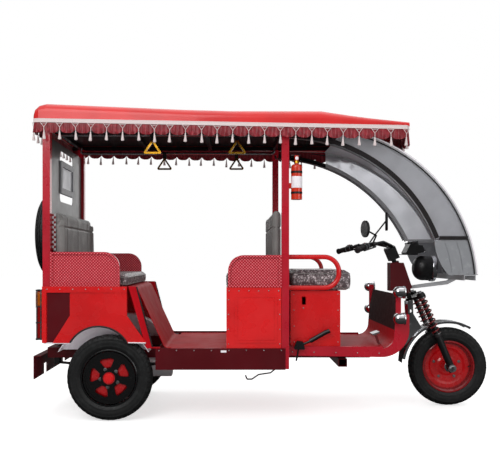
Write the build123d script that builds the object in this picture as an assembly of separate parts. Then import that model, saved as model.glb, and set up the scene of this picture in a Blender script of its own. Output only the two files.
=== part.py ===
"""Three-wheeled passenger rickshaw with a canopy roof, in millimetres.

X points forward, Y to the vehicle's left and Z up.  The origin is on the ground, midway along the
overall length.  Every named piece is written to its own STEP file in parts/.
"""

from build123d import *
from math import asin, atan2, cos, degrees, hypot, radians, sin, tan
import os

# ---------------------------------------------------------------- driving dimensions
FRONT_AXLE_X = 1150.0
WHEELBASE = 2055.0
REAR_AXLE_X = FRONT_AXLE_X - WHEELBASE

TYRE_OD = 490.0
TYRE_WIDTH = 95.0
RIM_OD = 326.0
AXLE_Z = TYRE_OD / 2
REAR_WHEEL_Y = 420.0

BODY_HALF = 478.0          # outer face of the sills
SHEET = 3.0                # body sheet metal
SKIN_Y = BODY_HALF - 5.0   # inner face of the rear side skins
FRONT_HALF = BODY_HALF - 98.0     # half width of the driver's floor and apron
DRIVER_HALF = BODY_HALF - 101.0   # half width of the driver's seat box
CUSHION_HALF = BODY_HALF - 48.0   # half width of the passengers' cushions
FLOOR_TOP = 405.0
SILL_TOP = 416.0
SILL_BOTTOM = 295.0

REAR_POST_X = -1257.0      # centre of the rear pillars
MID_POST_X = 93.0          # centre of the middle pillars
POST = 42.0                # pillar section
POST_TOP = 1676.0
POST_Y = SKIN_Y - POST / 2     # centre of the pillars across the vehicle
POST_INNER = POST_Y - POST / 2

SEAT_FRONT_X = -765.0      # front edge of the rear seat's base
SEAT_TOP = 762.0
RISER_FOOT_X = -600.0
CABIN_HALF = BODY_HALF - SHEET - 2.0

ROOF_REAR_X = -1328.0
ROOF_FRONT_X = 790.0
ROOF_HALF = BODY_HALF + 22.0

STEER_X = 861.5            # a point of the steering axis, on the centre plane
STEER_Z = 800.0
RAKE = 22.9                # degrees that the steering axis leans back
LEG_OFFSET = 50.0          # fork legs ahead of the steering axis
LEG_HALF_SPAN = 90.0
STEM_R = 15.0
RUNNING_GAP = 0.05         # radial clearance of the stem and axle in their bores
CLEAR = 6.0                # between pieces that move past each other

RAIL_Y = 300.0             # centre of the two chassis rails
RAIL_W = 40.0
RAIL_H = 60.0
RAIL_TOP = FLOOR_TOP - SHEET

MIN = Align.MIN
MID = Align.CENTER


# ---------------------------------------------------------------- helpers
def block(x0, x1, y0, y1, z0, z1):
    """Box between two corners."""
    return Pos(x0, y0, z0) * Box(x1 - x0, y1 - y0, z1 - z0, align=(MIN, MIN, MIN))


def side_profile(face, y0, y1):
    """Extrude a face drawn on the XZ plane from y0 to y1."""
    return Pos(0, y1, 0) * extrude(face, y1 - y0)


def side_face(*points, corner=0.0):
    """Closed outline of (x, z) points on the XZ plane, with optional rounded corners."""
    face = Plane.XZ * make_face(Polyline(*points, close=True))
    if corner:
        face = fillet(face.vertices(), corner)
    return face


def both_sides(piece):
    """The piece and its mirror image across the centre plane."""
    return piece + mirror(piece, about=Plane.XZ)


def rod(start, end, radius):
    """Round bar between two points."""
    a, b = Vector(*start), Vector(*end)
    return Plane(origin=a, z_dir=b - a) * Cylinder(radius, (b - a).length, align=(MID, MID, MIN))


def bent_tube(points, bend, radius):
    """Round bar along straight runs joined by tangent arcs."""
    path = FilletPolyline(*points, radius=bend)
    return sweep(Plane(origin=path @ 0, z_dir=path % 0) * Circle(radius), path)


def bent_sheet(path, thickness, y0, y1):
    """Sheet that follows an (x, z) line, between y0 and y1.  The thickness is on the line's right."""
    profile = make_face(offset(path, thickness, side=Side.RIGHT, closed=True))
    return side_profile(Plane.XZ * profile, y0, y1)


def arc_ring(centre, inner, outer, y0, y1):
    """Ring about an axis along Y through an (x, z) centre."""
    turn = Pos(centre[0], y1, centre[1]) * Rot(90, 0, 0)
    ring = Cylinder(outer, y1 - y0, align=(MID, MID, MIN))
    if inner > 0:
        ring -= Cylinder(inner, y1 - y0, align=(MID, MID, MIN))
    return turn * ring


def disc(centre, radius, y0, y1):
    """Round plate about an axis along Y."""
    return arc_ring(centre, 0, radius, y0, y1)


rake = radians(RAKE)
STEER = Plane(
    origin=(STEER_X, 0, STEER_Z),
    x_dir=(cos(rake), 0, sin(rake)),
    z_dir=(-sin(rake), 0, cos(rake)),
)


def on_axis(x, y, z):
    """World point of a place measured from the steering axis: ahead of it, left, and along it."""
    return STEER.from_local_coords(Vector(x, y, z))


# the front axle in the steering frame
AXLE_LOCAL = STEER.to_local_coords(Vector(FRONT_AXLE_X, 0, AXLE_Z))

parts = {}


# ---------------------------------------------------------------- chassis
def chassis_frame():
    """Ladder of box-section rails and cross members, with the neck that rises to the steering head."""
    wall = 3.0
    rear, front = -1290.0, 600.0
    z0, z1 = RAIL_TOP - RAIL_H, RAIL_TOP
    rail = block(rear, front, RAIL_Y - RAIL_W / 2, RAIL_Y + RAIL_W / 2, z0, z1)
    rail -= block(
        rear + wall, front - wall,
        RAIL_Y - RAIL_W / 2 + wall, RAIL_Y + RAIL_W / 2 - wall,
        z0 + wall, z1 - wall,
    )
    frame = both_sides(rail)
    inner = RAIL_Y - RAIL_W / 2
    for x in (-1270.0, -620.0, -240.0, 110.0, 560.0):
        frame += block(x - 20, x + 20, -inner, inner, z0 + 20, z1)
    # square tube below the driver's floor, with open ends
    frame += block(408, 458, -372, 372, z0 - 46, z0) - block(411, 455, -373, 373, z0 - 43, z0 - 3)
    # outriggers from the rails to the sills
    for x in (-600.0, -240.0, 45.0):
        frame += both_sides(block(x - 20, x + 20, RAIL_Y + RAIL_W / 2, BODY_HALF - SHEET, z1 - 40, z1))
    # neck: two bent tubes from the front cross member to the steering head
    neck = bent_tube(((575, 150, z1 - 30), (772, 120, z1 - 30), (842, 34, 745)), 60, 16)
    frame += both_sides(neck)
    return frame - head_block()


def head_outline():
    """Side outline of the steering head's sheet column."""
    return side_face((783, 897), (866, 897), (918, 745), (905, 728), (783, 720))


HEAD_HALF = 46.0


def head_block():
    """The space that the steering head's column fills."""
    return side_profile(head_outline(), -HEAD_HALF, HEAD_HALF)


def post_blocks():
    """The space that the four roof pillars fill."""
    posts = None
    for x, foot in ((REAR_POST_X, PANEL_BOTTOM), (MID_POST_X, SILL_BOTTOM + SHEET)):
        post = block(x - POST / 2, x + POST / 2, POST_Y - POST / 2, POST_Y + POST / 2, foot, POST_TOP)
        posts = both_sides(post) if posts is None else posts + both_sides(post)
    return posts


def floor_pan():
    """Floor sheet of the cabin and of the driver's foot space, curving up into the front apron."""
    cabin = block(RISER_FOOT_X + 40, MID_POST_X, -CABIN_HALF, CABIN_HALF, RAIL_TOP, FLOOR_TOP)
    front = block(MID_POST_X, 640, -FRONT_HALF, FRONT_HALF, RAIL_TOP, FLOOR_TOP)
    return cabin + front - post_blocks()


APRON_X = 722.0
APRON_BEND = 75.0
APRON_LEAN = atan2(745.0 - 722.0, 717.0 - 402.0)
APRON_BEND_X = APRON_X - APRON_BEND * tan((radians(90) - APRON_LEAN) / 2)
APRON_TOP = 717.0
LAMP_HEIGHTS = (578.0, 730.0)
SIDE_T = 8.0
STAY_T = 6.0


def front_apron():
    """Bent sheet in front of the driver's feet, and the box-section curves that edge it."""
    line = FilletPolyline((640, RAIL_TOP), (APRON_X, RAIL_TOP), (745, APRON_TOP), radius=APRON_BEND)
    sheet = bent_sheet(line, -SHEET, -FRONT_HALF, FRONT_HALF)
    shoulder = Plane.YZ * make_face(
        Polyline((310, APRON_TOP + 1), (FRONT_HALF + 1, 600), (FRONT_HALF + 1, APRON_TOP + 1), close=True)
    )
    cut = Pos(600, 0, 0) * extrude(shoulder, 200)
    apron = sheet - both_sides(cut)
    return apron


def front_floor_sides():
    """Side members under the driver's floor, sweeping up in front as crescent plates."""
    outline = (
        Line((MID_POST_X, 364), (650, 354))
        + ThreePointArc((650, 354), (770, 403), (814, 520))
        + Line((814, 520), (814, 600))
        + Line((814, 600), (737, 600))
        + Line((737, 600), (727, 470))
        + ThreePointArc((727, 470), (704, 424), (660, 405))
        + Line((660, 405), (660, 416))
        + Line((660, 416), (MID_POST_X, 416))
        + Line((MID_POST_X, 416), (MID_POST_X, 364))
    )
    plate = side_profile(Plane.XZ * make_face(outline), FRONT_HALF, FRONT_HALF + SIDE_T)
    stay = block(735, 765, FRONT_HALF + SIDE_T, FRONT_HALF + SIDE_T + STAY_T, 540, 745)
    return both_sides(plate + stay)


def sills():
    """Folded side skirts below the cabin floor."""
    rear, front = -640.0, MID_POST_X
    outer = block(rear, front, BODY_HALF - SHEET, BODY_HALF, SILL_BOTTOM, SILL_TOP)
    outer += block(rear, front, BODY_HALF - 30, BODY_HALF - SHEET, SILL_BOTTOM, SILL_BOTTOM + SHEET)
    return both_sides(outer)


# ---------------------------------------------------------------- rear body
PANEL_BOTTOM = 447.0
ARCH_CENTRE = (-960.0, 353.0)
ARCH_R = 187.0


EMBOSS = 4.0
FLARE = 7.0
RAIL_PROUD = 10.0
RAIL_Z = 731.0             # lower edge of the panel's top rail


PANEL_FRONT_X = -800.0     # upright front edge of the rear side panels
SKIRT_FRONT_X = -690.0     # foot of the skirt where it flares forward
SKIRT_TOP = 597.0


def rear_side_panels():
    """Skins beside the rear seat: a top rail, an embossed field, a flared skirt and the wheel arch."""
    x0 = REAR_POST_X - POST / 2
    foot, top = PANEL_BOTTOM, SEAT_TOP + 3
    outside = SKIN_Y + SHEET
    skin = side_face(
        (x0, top), (x0, foot), (SKIRT_FRONT_X, foot), (PANEL_FRONT_X, SKIRT_TOP), (PANEL_FRONT_X, top)
    )
    field = side_face(
        (-1121, RAIL_Z), (-1121, 590), (-1216, foot), (SKIRT_FRONT_X - 6, foot),
        (PANEL_FRONT_X - 5, SKIRT_TOP), (PANEL_FRONT_X - 5, RAIL_Z),
    )
    skirt = side_face(
        (-1125, SKIRT_TOP), (-1219, foot), (SKIRT_FRONT_X - 3, foot), (PANEL_FRONT_X + 3, SKIRT_TOP)
    )
    plate = side_profile(skin, SKIN_Y, outside)
    plate += side_profile(fillet(field.vertices().group_by(Axis.Z)[-1], 10), outside, outside + EMBOSS)
    plate += side_profile(skirt, outside, outside + FLARE)
    plate += block(x0, PANEL_FRONT_X, outside, outside + RAIL_PROUD, RAIL_Z, top)
    plate += block(x0, x0 + 24, outside, outside + RAIL_PROUD, foot, RAIL_Z)
    plate -= disc(ARCH_CENTRE, ARCH_R, SKIN_Y - 20, outside + 40)
    return both_sides(plate)


LINER_CENTRE = (REAR_AXLE_X - 30, AXLE_Z + 10)
LINER_R = TYRE_OD / 2 + 47     # outside of the wheel tubs


def wheel_arch_liners():
    """Inner tubs over the rear wheels, open below."""
    x, inner = LINER_CENTRE[0], LINER_R - 2
    y0, y1 = REAR_WHEEL_Y - TYRE_WIDTH / 2 - 14, SKIN_Y
    tub = arc_ring(LINER_CENTRE, inner, LINER_R, y0, y1) + disc(LINER_CENTRE, inner, y0, y0 + 2)
    tub &= block(x - 400, x + 400, y0, y1, AXLE_Z + 150, AXLE_Z + 400)
    return both_sides(tub)


STRUT_TOP_X = -771.0
STRUT_FOOT_X = -676.0
STRUT_TOP_W = 46.0
STRUT_FOOT_W = 34.0


def seat_risers():
    """Sloping tapered struts that edge the rear seat's base, with a foot plate on each sill."""
    strut = side_face(
        (STRUT_TOP_X - STRUT_TOP_W / 2, SEAT_TOP + 3), (STRUT_TOP_X + STRUT_TOP_W / 2, SEAT_TOP + 3),
        (STRUT_FOOT_X + STRUT_FOOT_W / 2, SILL_TOP), (STRUT_FOOT_X - STRUT_FOOT_W / 2, SILL_TOP),
    )
    bar = side_profile(strut, SKIN_Y - 35, SKIN_Y)
    groove = side_face(
        (STRUT_TOP_X - 5, SEAT_TOP - 12), (STRUT_TOP_X + 5, SEAT_TOP - 12),
        (STRUT_FOOT_X + 4, SILL_TOP + 20), (STRUT_FOOT_X - 4, SILL_TOP + 20),
    )
    bar -= side_profile(groove, SKIN_Y - 2, SKIN_Y)
    bar += block(STRUT_FOOT_X - 32, STRUT_FOOT_X + 60, SKIN_Y - 35, SKIN_Y, SILL_TOP, SILL_TOP + 4)
    return both_sides(bar - disc(LINER_CENTRE, LINER_R + 1, SKIN_Y - 40, SKIN_Y + 5))


SEAT_HALF = REAR_WHEEL_Y - TYRE_WIDTH / 2 - 16


def rear_seat_base():
    """One bent sheet: foot of the riser, the sloping riser, and the seat's deck out to the skins."""
    line = FilletPolyline(
        (RISER_FOOT_X + 40, RAIL_TOP), (RISER_FOOT_X, RAIL_TOP), (SEAT_FRONT_X, SEAT_TOP - SHEET),
        (REAR_POST_X + 22, SEAT_TOP - SHEET), radius=30,
    )
    base = bent_sheet(line, SHEET, -SEAT_HALF, SEAT_HALF)
    ledge = block(
        REAR_POST_X + 22, SEAT_FRONT_X - 45, SEAT_HALF, SKIN_Y, SEAT_TOP - SHEET, SEAT_TOP
    )
    return base + both_sides(ledge)


CUSHION_FRONT_X = -813.0
BACK_FACE_X = -1223.0


def rear_cushion():
    """Bench cushion of the rear seat."""
    pad = block(BACK_FACE_X + 12, -790, -CUSHION_HALF, CUSHION_HALF, SEAT_TOP + 1, SEAT_TOP + 67)
    return fillet(pad.edges().filter_by(Axis.Y).group_by(Axis.Z)[-1], 22)


def rear_backrest():
    """Upholstered back of the rear seat, with side bolsters that wrap forward."""
    half, foot = CUSHION_HALF, SEAT_TOP + 70
    back = block(REAR_POST_X + 22, BACK_FACE_X + 10, -half, half, foot, foot + 398)
    wing = block(BACK_FACE_X + 10, BACK_FACE_X + 93, half - 35, half, foot, foot + 358)
    wing = fillet(wing.edges().filter_by(Axis.Y).sort_by(Axis.X)[-1], 30)
    return back + both_sides(wing)


ARM_TOP_REAR = 960.0
ARM_TOP_FRONT = 942.0


def arm_panel(x0, x1, z0, z1, radius, front):
    """Side arm panel with one large rounded top corner and a rolled rim."""
    corner = (x1 if front else x0, z1)
    face = side_face((x0, z0), (x1, z0), (x1, z1), (x0, z1))
    vertex = face.vertices().sort_by(Axis.Z)[2:].sort_by(Axis.X)[-1 if front else 0]
    face = fillet(vertex, radius)
    panel = side_profile(face, BODY_HALF - 12, BODY_HALF - 9)
    hollow = offset(face, -14)
    rim = side_profile(face, BODY_HALF - 18, BODY_HALF) - side_profile(hollow, BODY_HALF - 19, BODY_HALF + 1)
    return panel + rim


def arm_panels():
    """Arm panels at the ends of the rear seat and of the rear-facing bench."""
    rear = arm_panel(REAR_POST_X + POST / 2, -842, SEAT_TOP + 3, ARM_TOP_REAR, 90, True)
    front = arm_panel(-231, MID_POST_X - POST / 2, BENCH_TOP + 0.5, ARM_TOP_FRONT, 90, False)
    return both_sides(rear + front)


def rear_wall():
    """Sheet behind the rear seat, with its window cut."""
    x0 = REAR_POST_X
    wall = block(x0, x0 + SHEET, -POST_INNER, POST_INNER, PANEL_BOTTOM, 1620)
    window = block(x0 - 10, x0 + 20, -WINDOW_HALF, WINDOW_HALF, WINDOW_Z0, WINDOW_Z1)
    window = fillet(window.edges().filter_by(Axis.X), 30)
    return wall - window + spare_carrier()


WINDOW_HALF = 170.0
WINDOW_Z0 = 1270.0
WINDOW_Z1 = 1580.0


def rear_window():
    """Moulded frame and centre pane in the rear opening, with a slot above and below."""
    x0 = REAR_POST_X
    z0, z1 = WINDOW_Z0 + 50, WINDOW_Z1 - 60
    frame = block(x0 - 6, x0 + 12, -WINDOW_HALF, WINDOW_HALF, z0, z1)
    frame = fillet(frame.edges().filter_by(Axis.X), 8)
    frame -= block(x0 - 7, x0 + 13, -WINDOW_HALF + 30, WINDOW_HALF - 30, z0 + 35, z1 - 35)
    return frame


def rear_window_pane():
    """Dark pane inside the rear window's frame."""
    x0 = REAR_POST_X
    z0, z1 = WINDOW_Z0 + 50, WINDOW_Z1 - 60
    return block(x0, x0 + 4, -WINDOW_HALF + 30, WINDOW_HALF - 30, z0 + 35, z1 - 35)


def pillars():
    """Four roof pillars of square tube."""
    posts = post_blocks()
    core = POST / 2 - 3
    for x in (REAR_POST_X, MID_POST_X):
        posts -= both_sides(block(x - core, x + core, POST_Y - core, POST_Y + core, 0, 2000))
    return posts


# ---------------------------------------------------------------- front bench and driver's seat
BENCH_REAR_X = -240.0
BENCH_FRONT_X = 70.0
BENCH_TOP = 760.0


def front_bench_box():
    """Sheet box under the rear-facing bench, open inside."""
    half = CABIN_HALF
    box = block(BENCH_REAR_X, BENCH_FRONT_X, -half, half, FLOOR_TOP, BENCH_TOP)
    box -= block(
        BENCH_REAR_X + SHEET, BENCH_FRONT_X - SHEET, -half + SHEET, half - SHEET, FLOOR_TOP, BENCH_TOP - SHEET
    )
    face = fillet(side_face((-191, 447), (46, 447), (46, 717), (-191, 717)).vertices(), 14)
    field = side_profile(face, half, half + 5)
    groove = side_profile(offset(face, -12), half + 2, half + 5) - side_profile(offset(face, -17), half, half + 6)
    return box + both_sides(field - groove)


def front_bench_cushion():
    """Cushion of the rear-facing bench."""
    pad = block(BENCH_REAR_X - 10, 28, -CUSHION_HALF, CUSHION_HALF, BENCH_TOP + 1, BENCH_TOP + 75)
    return fillet(pad.edges().filter_by(Axis.Y).group_by(Axis.Z)[-1], 22)


def front_backrest():
    """Upholstered back between the rear-facing bench and the driver."""
    half = CUSHION_HALF - 10
    back = block(30, 66, -half, half, BENCH_TOP + 1, BENCH_TOP + 450)
    return fillet(back.edges().filter_by(Axis.X).group_by(Axis.Z)[-1], 30)


DRIVER_REAR_X = 130.0
DRIVER_FRONT_X = 418.0
DRIVER_TOP = 736.0


def driver_seat_box():
    """Sheet box under the driver's seat, with a vent slot in each side."""
    half = DRIVER_HALF
    box = block(DRIVER_REAR_X, DRIVER_FRONT_X, -half, half, FLOOR_TOP, DRIVER_TOP)
    box -= block(
        DRIVER_REAR_X + SHEET, DRIVER_FRONT_X - SHEET, -half + SHEET, half - SHEET,
        FLOOR_TOP, DRIVER_TOP - SHEET,
    )
    slot = block(196, 218, half - 10, half + 10, 656, 702)
    return box - both_sides(slot)


def driver_cushion():
    """Driver's seat cushion."""
    half = DRIVER_HALF - 47
    pad = block(DRIVER_REAR_X + 4, DRIVER_FRONT_X + 82, -half, half, DRIVER_TOP + 1, DRIVER_TOP + 114)
    return fillet(pad.edges().filter_by(Axis.Y).group_by(Axis.Z)[-1], 30)


LOOP_R = 14.0


def driver_loops():
    """Tube loops that guard the ends of the driver's seat."""
    y = DRIVER_HALF + LOOP_R
    x0, x1 = MID_POST_X + POST / 2, DRIVER_FRONT_X - 11
    z0, z1 = DRIVER_TOP + 18, DRIVER_TOP + 196
    loop = bent_tube(((x0, y, z1), (x1, y, z1), (x1, y, z0), (x0, y, z0)), 85, LOOP_R)
    return both_sides(loop)


# ---------------------------------------------------------------- roof
PIPING_REAR_Z = 1707.0
PIPING_FRONT_Z = 1667.0
ROOF_SKIN = 6.0
ROOF_CROWN = 6.0           # rise of the roof's top across its width
# Roof stations: distance from the rear edge, tuck of the sides, height of the shoulders, their radius
ROOF_STATIONS = (
    (0.0, 24.0, 1740.0, 18.0),
    (9.0, 11.0, 1765.0, 30.0),
    (33.0, 2.0, 1787.0, 42.0),
    (73.0, 0.0, 1798.0, 48.0),
    (828.0, 0.0, 1766.0, 48.0),
    (1108.0, 0.0, 1758.0, 48.0),
    (1624.0, 0.0, 1757.0, 48.0),
    (1780.0, 0.0, 1731.0, 36.0),
    (1893.0, 2.0, 1715.0, 28.0),
    (ROOF_FRONT_X - ROOF_REAR_X, 10.0, 1690.0, 14.0),
)


def piping_z(x):
    """Height of the roof's lower edge."""
    share = (x - ROOF_REAR_X) / (ROOF_FRONT_X - ROOF_REAR_X)
    return PIPING_REAR_Z + share * (PIPING_FRONT_Z - PIPING_REAR_Z)


def roof_section(x, half, top, shoulder, bottom):
    """Cross section of the roof at a station: flat sides, rounded shoulders and a slight crown."""
    knee = shoulder * (1 - cos(radians(45)))
    left = Line((-half, bottom), (-half, top - shoulder)) + ThreePointArc(
        (-half, top - shoulder), (-half + knee, top - knee), (-half + shoulder, top)
    )
    crown = ThreePointArc((-half + shoulder, top), (0, top + ROOF_CROWN), (half - shoulder, top))
    right = mirror(left, about=Plane.YZ)
    outline = left + crown + right + Line((half, bottom), (-half, bottom))
    return Plane(origin=(x, 0, 0), x_dir=(0, 1, 0), z_dir=(1, 0, 0)) * make_face(outline)


def roof_block(inset, drop):
    """The roof's outside moved in by an inset, its underside lowered by a drop."""
    sections = []
    for along, tuck, top, shoulder in ROOF_STATIONS:
        x = min(max(ROOF_REAR_X + along, ROOF_REAR_X + inset), ROOF_FRONT_X - inset)
        if sections and x <= ROOF_REAR_X + inset:
            sections.pop()
        sections.append(
            roof_section(x, ROOF_HALF - tuck - inset, top - inset, max(shoulder - inset, 4), piping_z(x) - drop)
        )
    return loft(sections, ruled=True)


def roof_shell():
    """Moulded canopy skin, open below, with rolled rear corners and a nose that falls forward."""
    return roof_block(0, 0) - roof_block(ROOF_SKIN, 30)


def roof_frame():
    """Steel frame under the canopy: side rails, cross bows and a tube end at the rear."""
    x0, x1 = ROOF_REAR_X + 10, 520.0
    frame = both_sides(block(x0, x1, POST_Y - 12, POST_Y + 12, POST_TOP, POST_TOP + 24))
    inner = POST_Y - 12
    for x in (REAR_POST_X, -800.0, -360.0, MID_POST_X, 500.0):
        frame += block(x - 12, x + 12, -inner, inner, POST_TOP, POST_TOP + 24)
    return frame


VALANCE_INSET = 8.0


def valance():
    """Hanging cloth border round the roof's edge."""
    t = 2.0
    x0, x1 = ROOF_REAR_X + VALANCE_INSET, ROOF_FRONT_X - VALANCE_INSET
    half = ROOF_HALF - VALANCE_INSET
    top0, top1 = piping_z(x0) - 0.5, piping_z(x1) - 0.5
    side = side_face((x0, top0 - 70), (x0, top0), (x1, top1), (x1, top1 - 66))
    cloth = both_sides(side_profile(side, half - t, half))
    cloth += block(x0, x0 + t, -half + t, half - t, top0 - 70, top0)
    cloth += block(x1 - t, x1, -half + t, half - t, top1 - 66, top1)
    return cloth


GRAB_RAIL_Y = 360.0
GRAB_RAIL_Z = 1640.0


def grab_rails():
    """Two ceiling rails for standing or seated passengers."""
    rail = bent_tube(
        (
            (-1240, GRAB_RAIL_Y, POST_TOP), (-1240, GRAB_RAIL_Y, GRAB_RAIL_Z),
            (80, GRAB_RAIL_Y, GRAB_RAIL_Z), (80, GRAB_RAIL_Y, POST_TOP),
        ),
        20, 9,
    )
    return both_sides(rail)


def grab_handles():
    """Four triangular hand grips that hang on straps from the ceiling rails."""
    handles = None
    for x in (-670.0, -178.0):
        top = GRAB_RAIL_Z - 9
        strap = block(x - 11, x + 11, GRAB_RAIL_Y - 2, GRAB_RAIL_Y + 2, 1600, top)
        loop = side_face((x - 57, 1530), (x + 57, 1530), (x, 1615))
        loop = fillet(loop.vertices(), 9)
        hole = offset(loop, -11)
        grip = side_profile(loop, GRAB_RAIL_Y - 6, GRAB_RAIL_Y + 6)
        grip -= side_profile(hole, GRAB_RAIL_Y - 7, GRAB_RAIL_Y + 7)
        piece = both_sides(grip + strap)
        handles = piece if handles is None else handles + piece
    return handles


# ---------------------------------------------------------------- windscreen
SCREEN_CENTRE = (281.0, 717.0)
SCREEN_R = 956.0
WING_REAR_CENTRE = (94.0, 664.0)
WING_REAR_R = 954.0
SCREEN_FOOT_Z = 826.0
SCREEN_BAND_Z = 1042.0
SCREEN_TOP_Z = 1655.0
SCREEN_FOOT_HALF = 330.0
SCREEN_TOP_HALF = 436.0
GLASS = 4.0
SCREEN_BAR = 18.0


def screen_half(z):
    """Half width of the windscreen at a height."""
    share = (z - SCREEN_FOOT_Z) / (SCREEN_TOP_Z - SCREEN_FOOT_Z)
    return SCREEN_FOOT_HALF + share * (SCREEN_TOP_HALF - SCREEN_FOOT_HALF)


def screen_slab(outside, thickness, z0=SCREEN_FOOT_Z, z1=SCREEN_TOP_Z):
    """Leaning slab on the left, its outer face a distance outside the windscreen's side plane."""
    a0, a1 = screen_half(z0) + outside, screen_half(z1) + outside
    face = Plane.YZ * make_face(
        Polyline((a0 - thickness, z0), (a0, z0), (a1, z1), (a1 - thickness, z1), close=True)
    )
    return Pos(-200, 0, 0) * extrude(face, 1700)


def screen_prism(inset, z0=SCREEN_FOOT_Z, z1=SCREEN_TOP_Z):
    """Everything between the two leaning side planes, moved in by the inset."""
    a0, a1 = screen_half(z0) - inset, screen_half(z1) - inset
    face = Plane.YZ * make_face(Polyline((-a0, z0), (a0, z0), (a1, z1), (-a1, z1), close=True))
    return Pos(-200, 0, 0) * extrude(face, 1700)


def ahead(x):
    """Half space in front of a plane, as a large block."""
    return block(x, 2000, -800, 800, 0, 2500)


def screen_arc(depth, thickness):
    """Cylindrical shell of the windscreen, its outside a depth inside the outer curve."""
    outer = SCREEN_R - depth
    return arc_ring(SCREEN_CENTRE, outer - thickness, outer, -600, 600) & ahead(430)


def windscreen_glass():
    """Curved clear sheet from the roof's nose to the cross band, and the crescent side panes."""
    sheet = screen_arc(4, GLASS) & screen_prism(SCREEN_BAR)
    sheet &= block(430, 1400, -600, 600, SCREEN_BAND_Z, SCREEN_TOP_Z)
    wings = wing_face_solid(SCREEN_BAR, WING_BAND, SCREEN_BAND_Z + 12, SCREEN_TOP_Z)
    return sheet + both_sides(wings & screen_slab(-7, GLASS))


def wing_face_solid(depth, rear_gap, z0, z1):
    """Crescent between the windscreen's curve and the wing's rear curve, as a wide block."""
    body = disc(SCREEN_CENTRE, SCREEN_R - depth, -600, 600)
    body -= disc(WING_REAR_CENTRE, WING_REAR_R + rear_gap, -601, 601)
    return body & block(440, 1400, -600, 600, z0, z1)


WING_BAND = 24.0


def windscreen_frame():
    """Bent bars on the windscreen's edges, the rear bands of the wings and the cross band."""
    body = disc(SCREEN_CENTRE, SCREEN_R, -600, 600) - disc(SCREEN_CENTRE, SCREEN_R - SCREEN_BAR, -601, 601)
    edge = body & ahead(440) & block(400, 1400, -600, 600, SCREEN_FOOT_Z, SCREEN_TOP_Z)
    frame = edge & screen_slab(0, SCREEN_BAR)
    band = wing_face_solid(SCREEN_BAR, 0, SCREEN_BAND_Z, SCREEN_TOP_Z)
    band &= disc(WING_REAR_CENTRE, WING_REAR_R + WING_BAND, -601, 601)
    frame += band & screen_slab(0, SCREEN_BAR)
    bar = wing_face_solid(SCREEN_BAR, WING_BAND, SCREEN_BAND_Z - 12, SCREEN_BAND_Z + 12)
    frame += bar & screen_slab(0, SCREEN_BAR)
    cross = screen_arc(0, SCREEN_BAR) & screen_prism(SCREEN_BAR)
    frame = both_sides(frame)
    frame += cross & block(400, 1400, -600, 600, SCREEN_BAND_Z - 12, SCREEN_BAND_Z)
    return frame


LOWER_REAR_CENTRE = (1286.0, 1048.0)
LOWER_REAR_R = 316.0
FLUTE_DEPTHS = (85.0, 150.0)        # grooves of the side panels, measured in from the front edge
NOSE_FLUTES = (-225.0, -135.0, -45.0, 45.0, 135.0, 225.0)


def windscreen_lower():
    """Ribbed lower panel that wraps under the glass, with its foot rail."""
    crescent = disc(SCREEN_CENTRE, SCREEN_R - SCREEN_BAR, -600, 600)
    crescent &= disc(LOWER_REAR_CENTRE, LOWER_REAR_R, -601, 601)
    crescent &= block(900, 1400, -600, 600, SCREEN_FOOT_Z, SCREEN_BAND_Z - 12)
    side = crescent & screen_slab(-4, 5)
    for depth in FLUTE_DEPTHS:
        ring = screen_arc(depth - 2.5, 5) & block(900, 1400, -600, 600, SCREEN_FOOT_Z + 18, SCREEN_BAND_Z - 26)
        side -= ring & screen_slab(-4, 2.5)
    nose = screen_arc(4, 5) & screen_prism(SCREEN_BAR)
    nose &= block(900, 1400, -600, 600, SCREEN_FOOT_Z, SCREEN_BAND_Z - 12)
    for y in NOSE_FLUTES:
        nose -= screen_arc(4, 2.5) & block(
            900, 1400, y - 2.5, y + 2.5, SCREEN_FOOT_Z + 24, SCREEN_BAND_Z - 30
        )
    return both_sides(side) + nose


BEAM_HALF = 15.0
FOOT_DEPTH = 32.0
# the foot channel's front flange lies behind the windscreen's curve
FOOT_FRONT_X = SCREEN_CENTRE[0] + SCREEN_R * cos(asin((SCREEN_FOOT_Z - SCREEN_CENTRE[1]) / SCREEN_R)) - 12.8
FOOT_REAR_X = FOOT_FRONT_X - 68.0


def windscreen_beam():
    """Beam from the steering head to a folded cross channel under the foot of the windscreen."""
    face = side_face((890, 729), (FOOT_REAR_X, 760), (FOOT_FRONT_X - 4, SCREEN_FOOT_Z - FOOT_DEPTH),
                     (FOOT_FRONT_X - 4, SCREEN_FOOT_Z - 4), (FOOT_REAR_X, SCREEN_FOOT_Z - 42), (890, 749))
    beam = side_profile(face, -BEAM_HALF, BEAM_HALF) - head_block() - head_tube()
    top, half = SCREEN_FOOT_Z, SCREEN_FOOT_HALF
    beam += block(FOOT_REAR_X, FOOT_FRONT_X, -half, half, top - 4, top)
    for x in (FOOT_REAR_X, FOOT_FRONT_X - 4):
        beam += block(x, x + 4, -half, half, top - FOOT_DEPTH, top - 4)
    return beam


# ---------------------------------------------------------------- steering head and front lamps
HEAD_LOW = -100.0
HEAD_HIGH = 110.0


def head_tube():
    """Outside of the tube that the steering stem turns in."""
    return STEER * Pos(0, 0, HEAD_LOW) * Cylinder(26, HEAD_HIGH - HEAD_LOW, align=(MID, MID, MIN))


def steering_head():
    """Head tube inside a tapered sheet column."""
    inner = Plane.XZ * make_face(
        Polyline((786, 890), (862, 890), (912, 747), (903, 732), (786, 724), close=True)
    )
    cover = head_block() - side_profile(inner, -HEAD_HALF + SHEET, HEAD_HALF - SHEET)
    bore = STEER * Pos(0, 0, HEAD_LOW - 5) * Cylinder(
        STEM_R + RUNNING_GAP, HEAD_HIGH - HEAD_LOW + 10, align=(MID, MID, MIN)
    )
    return cover + head_tube() - bore


LAMP_R = 36.0
LAMP_X0 = 710.0
LAMP_LENGTH = 68.0
LAMP_BEZEL = 12.0


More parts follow.
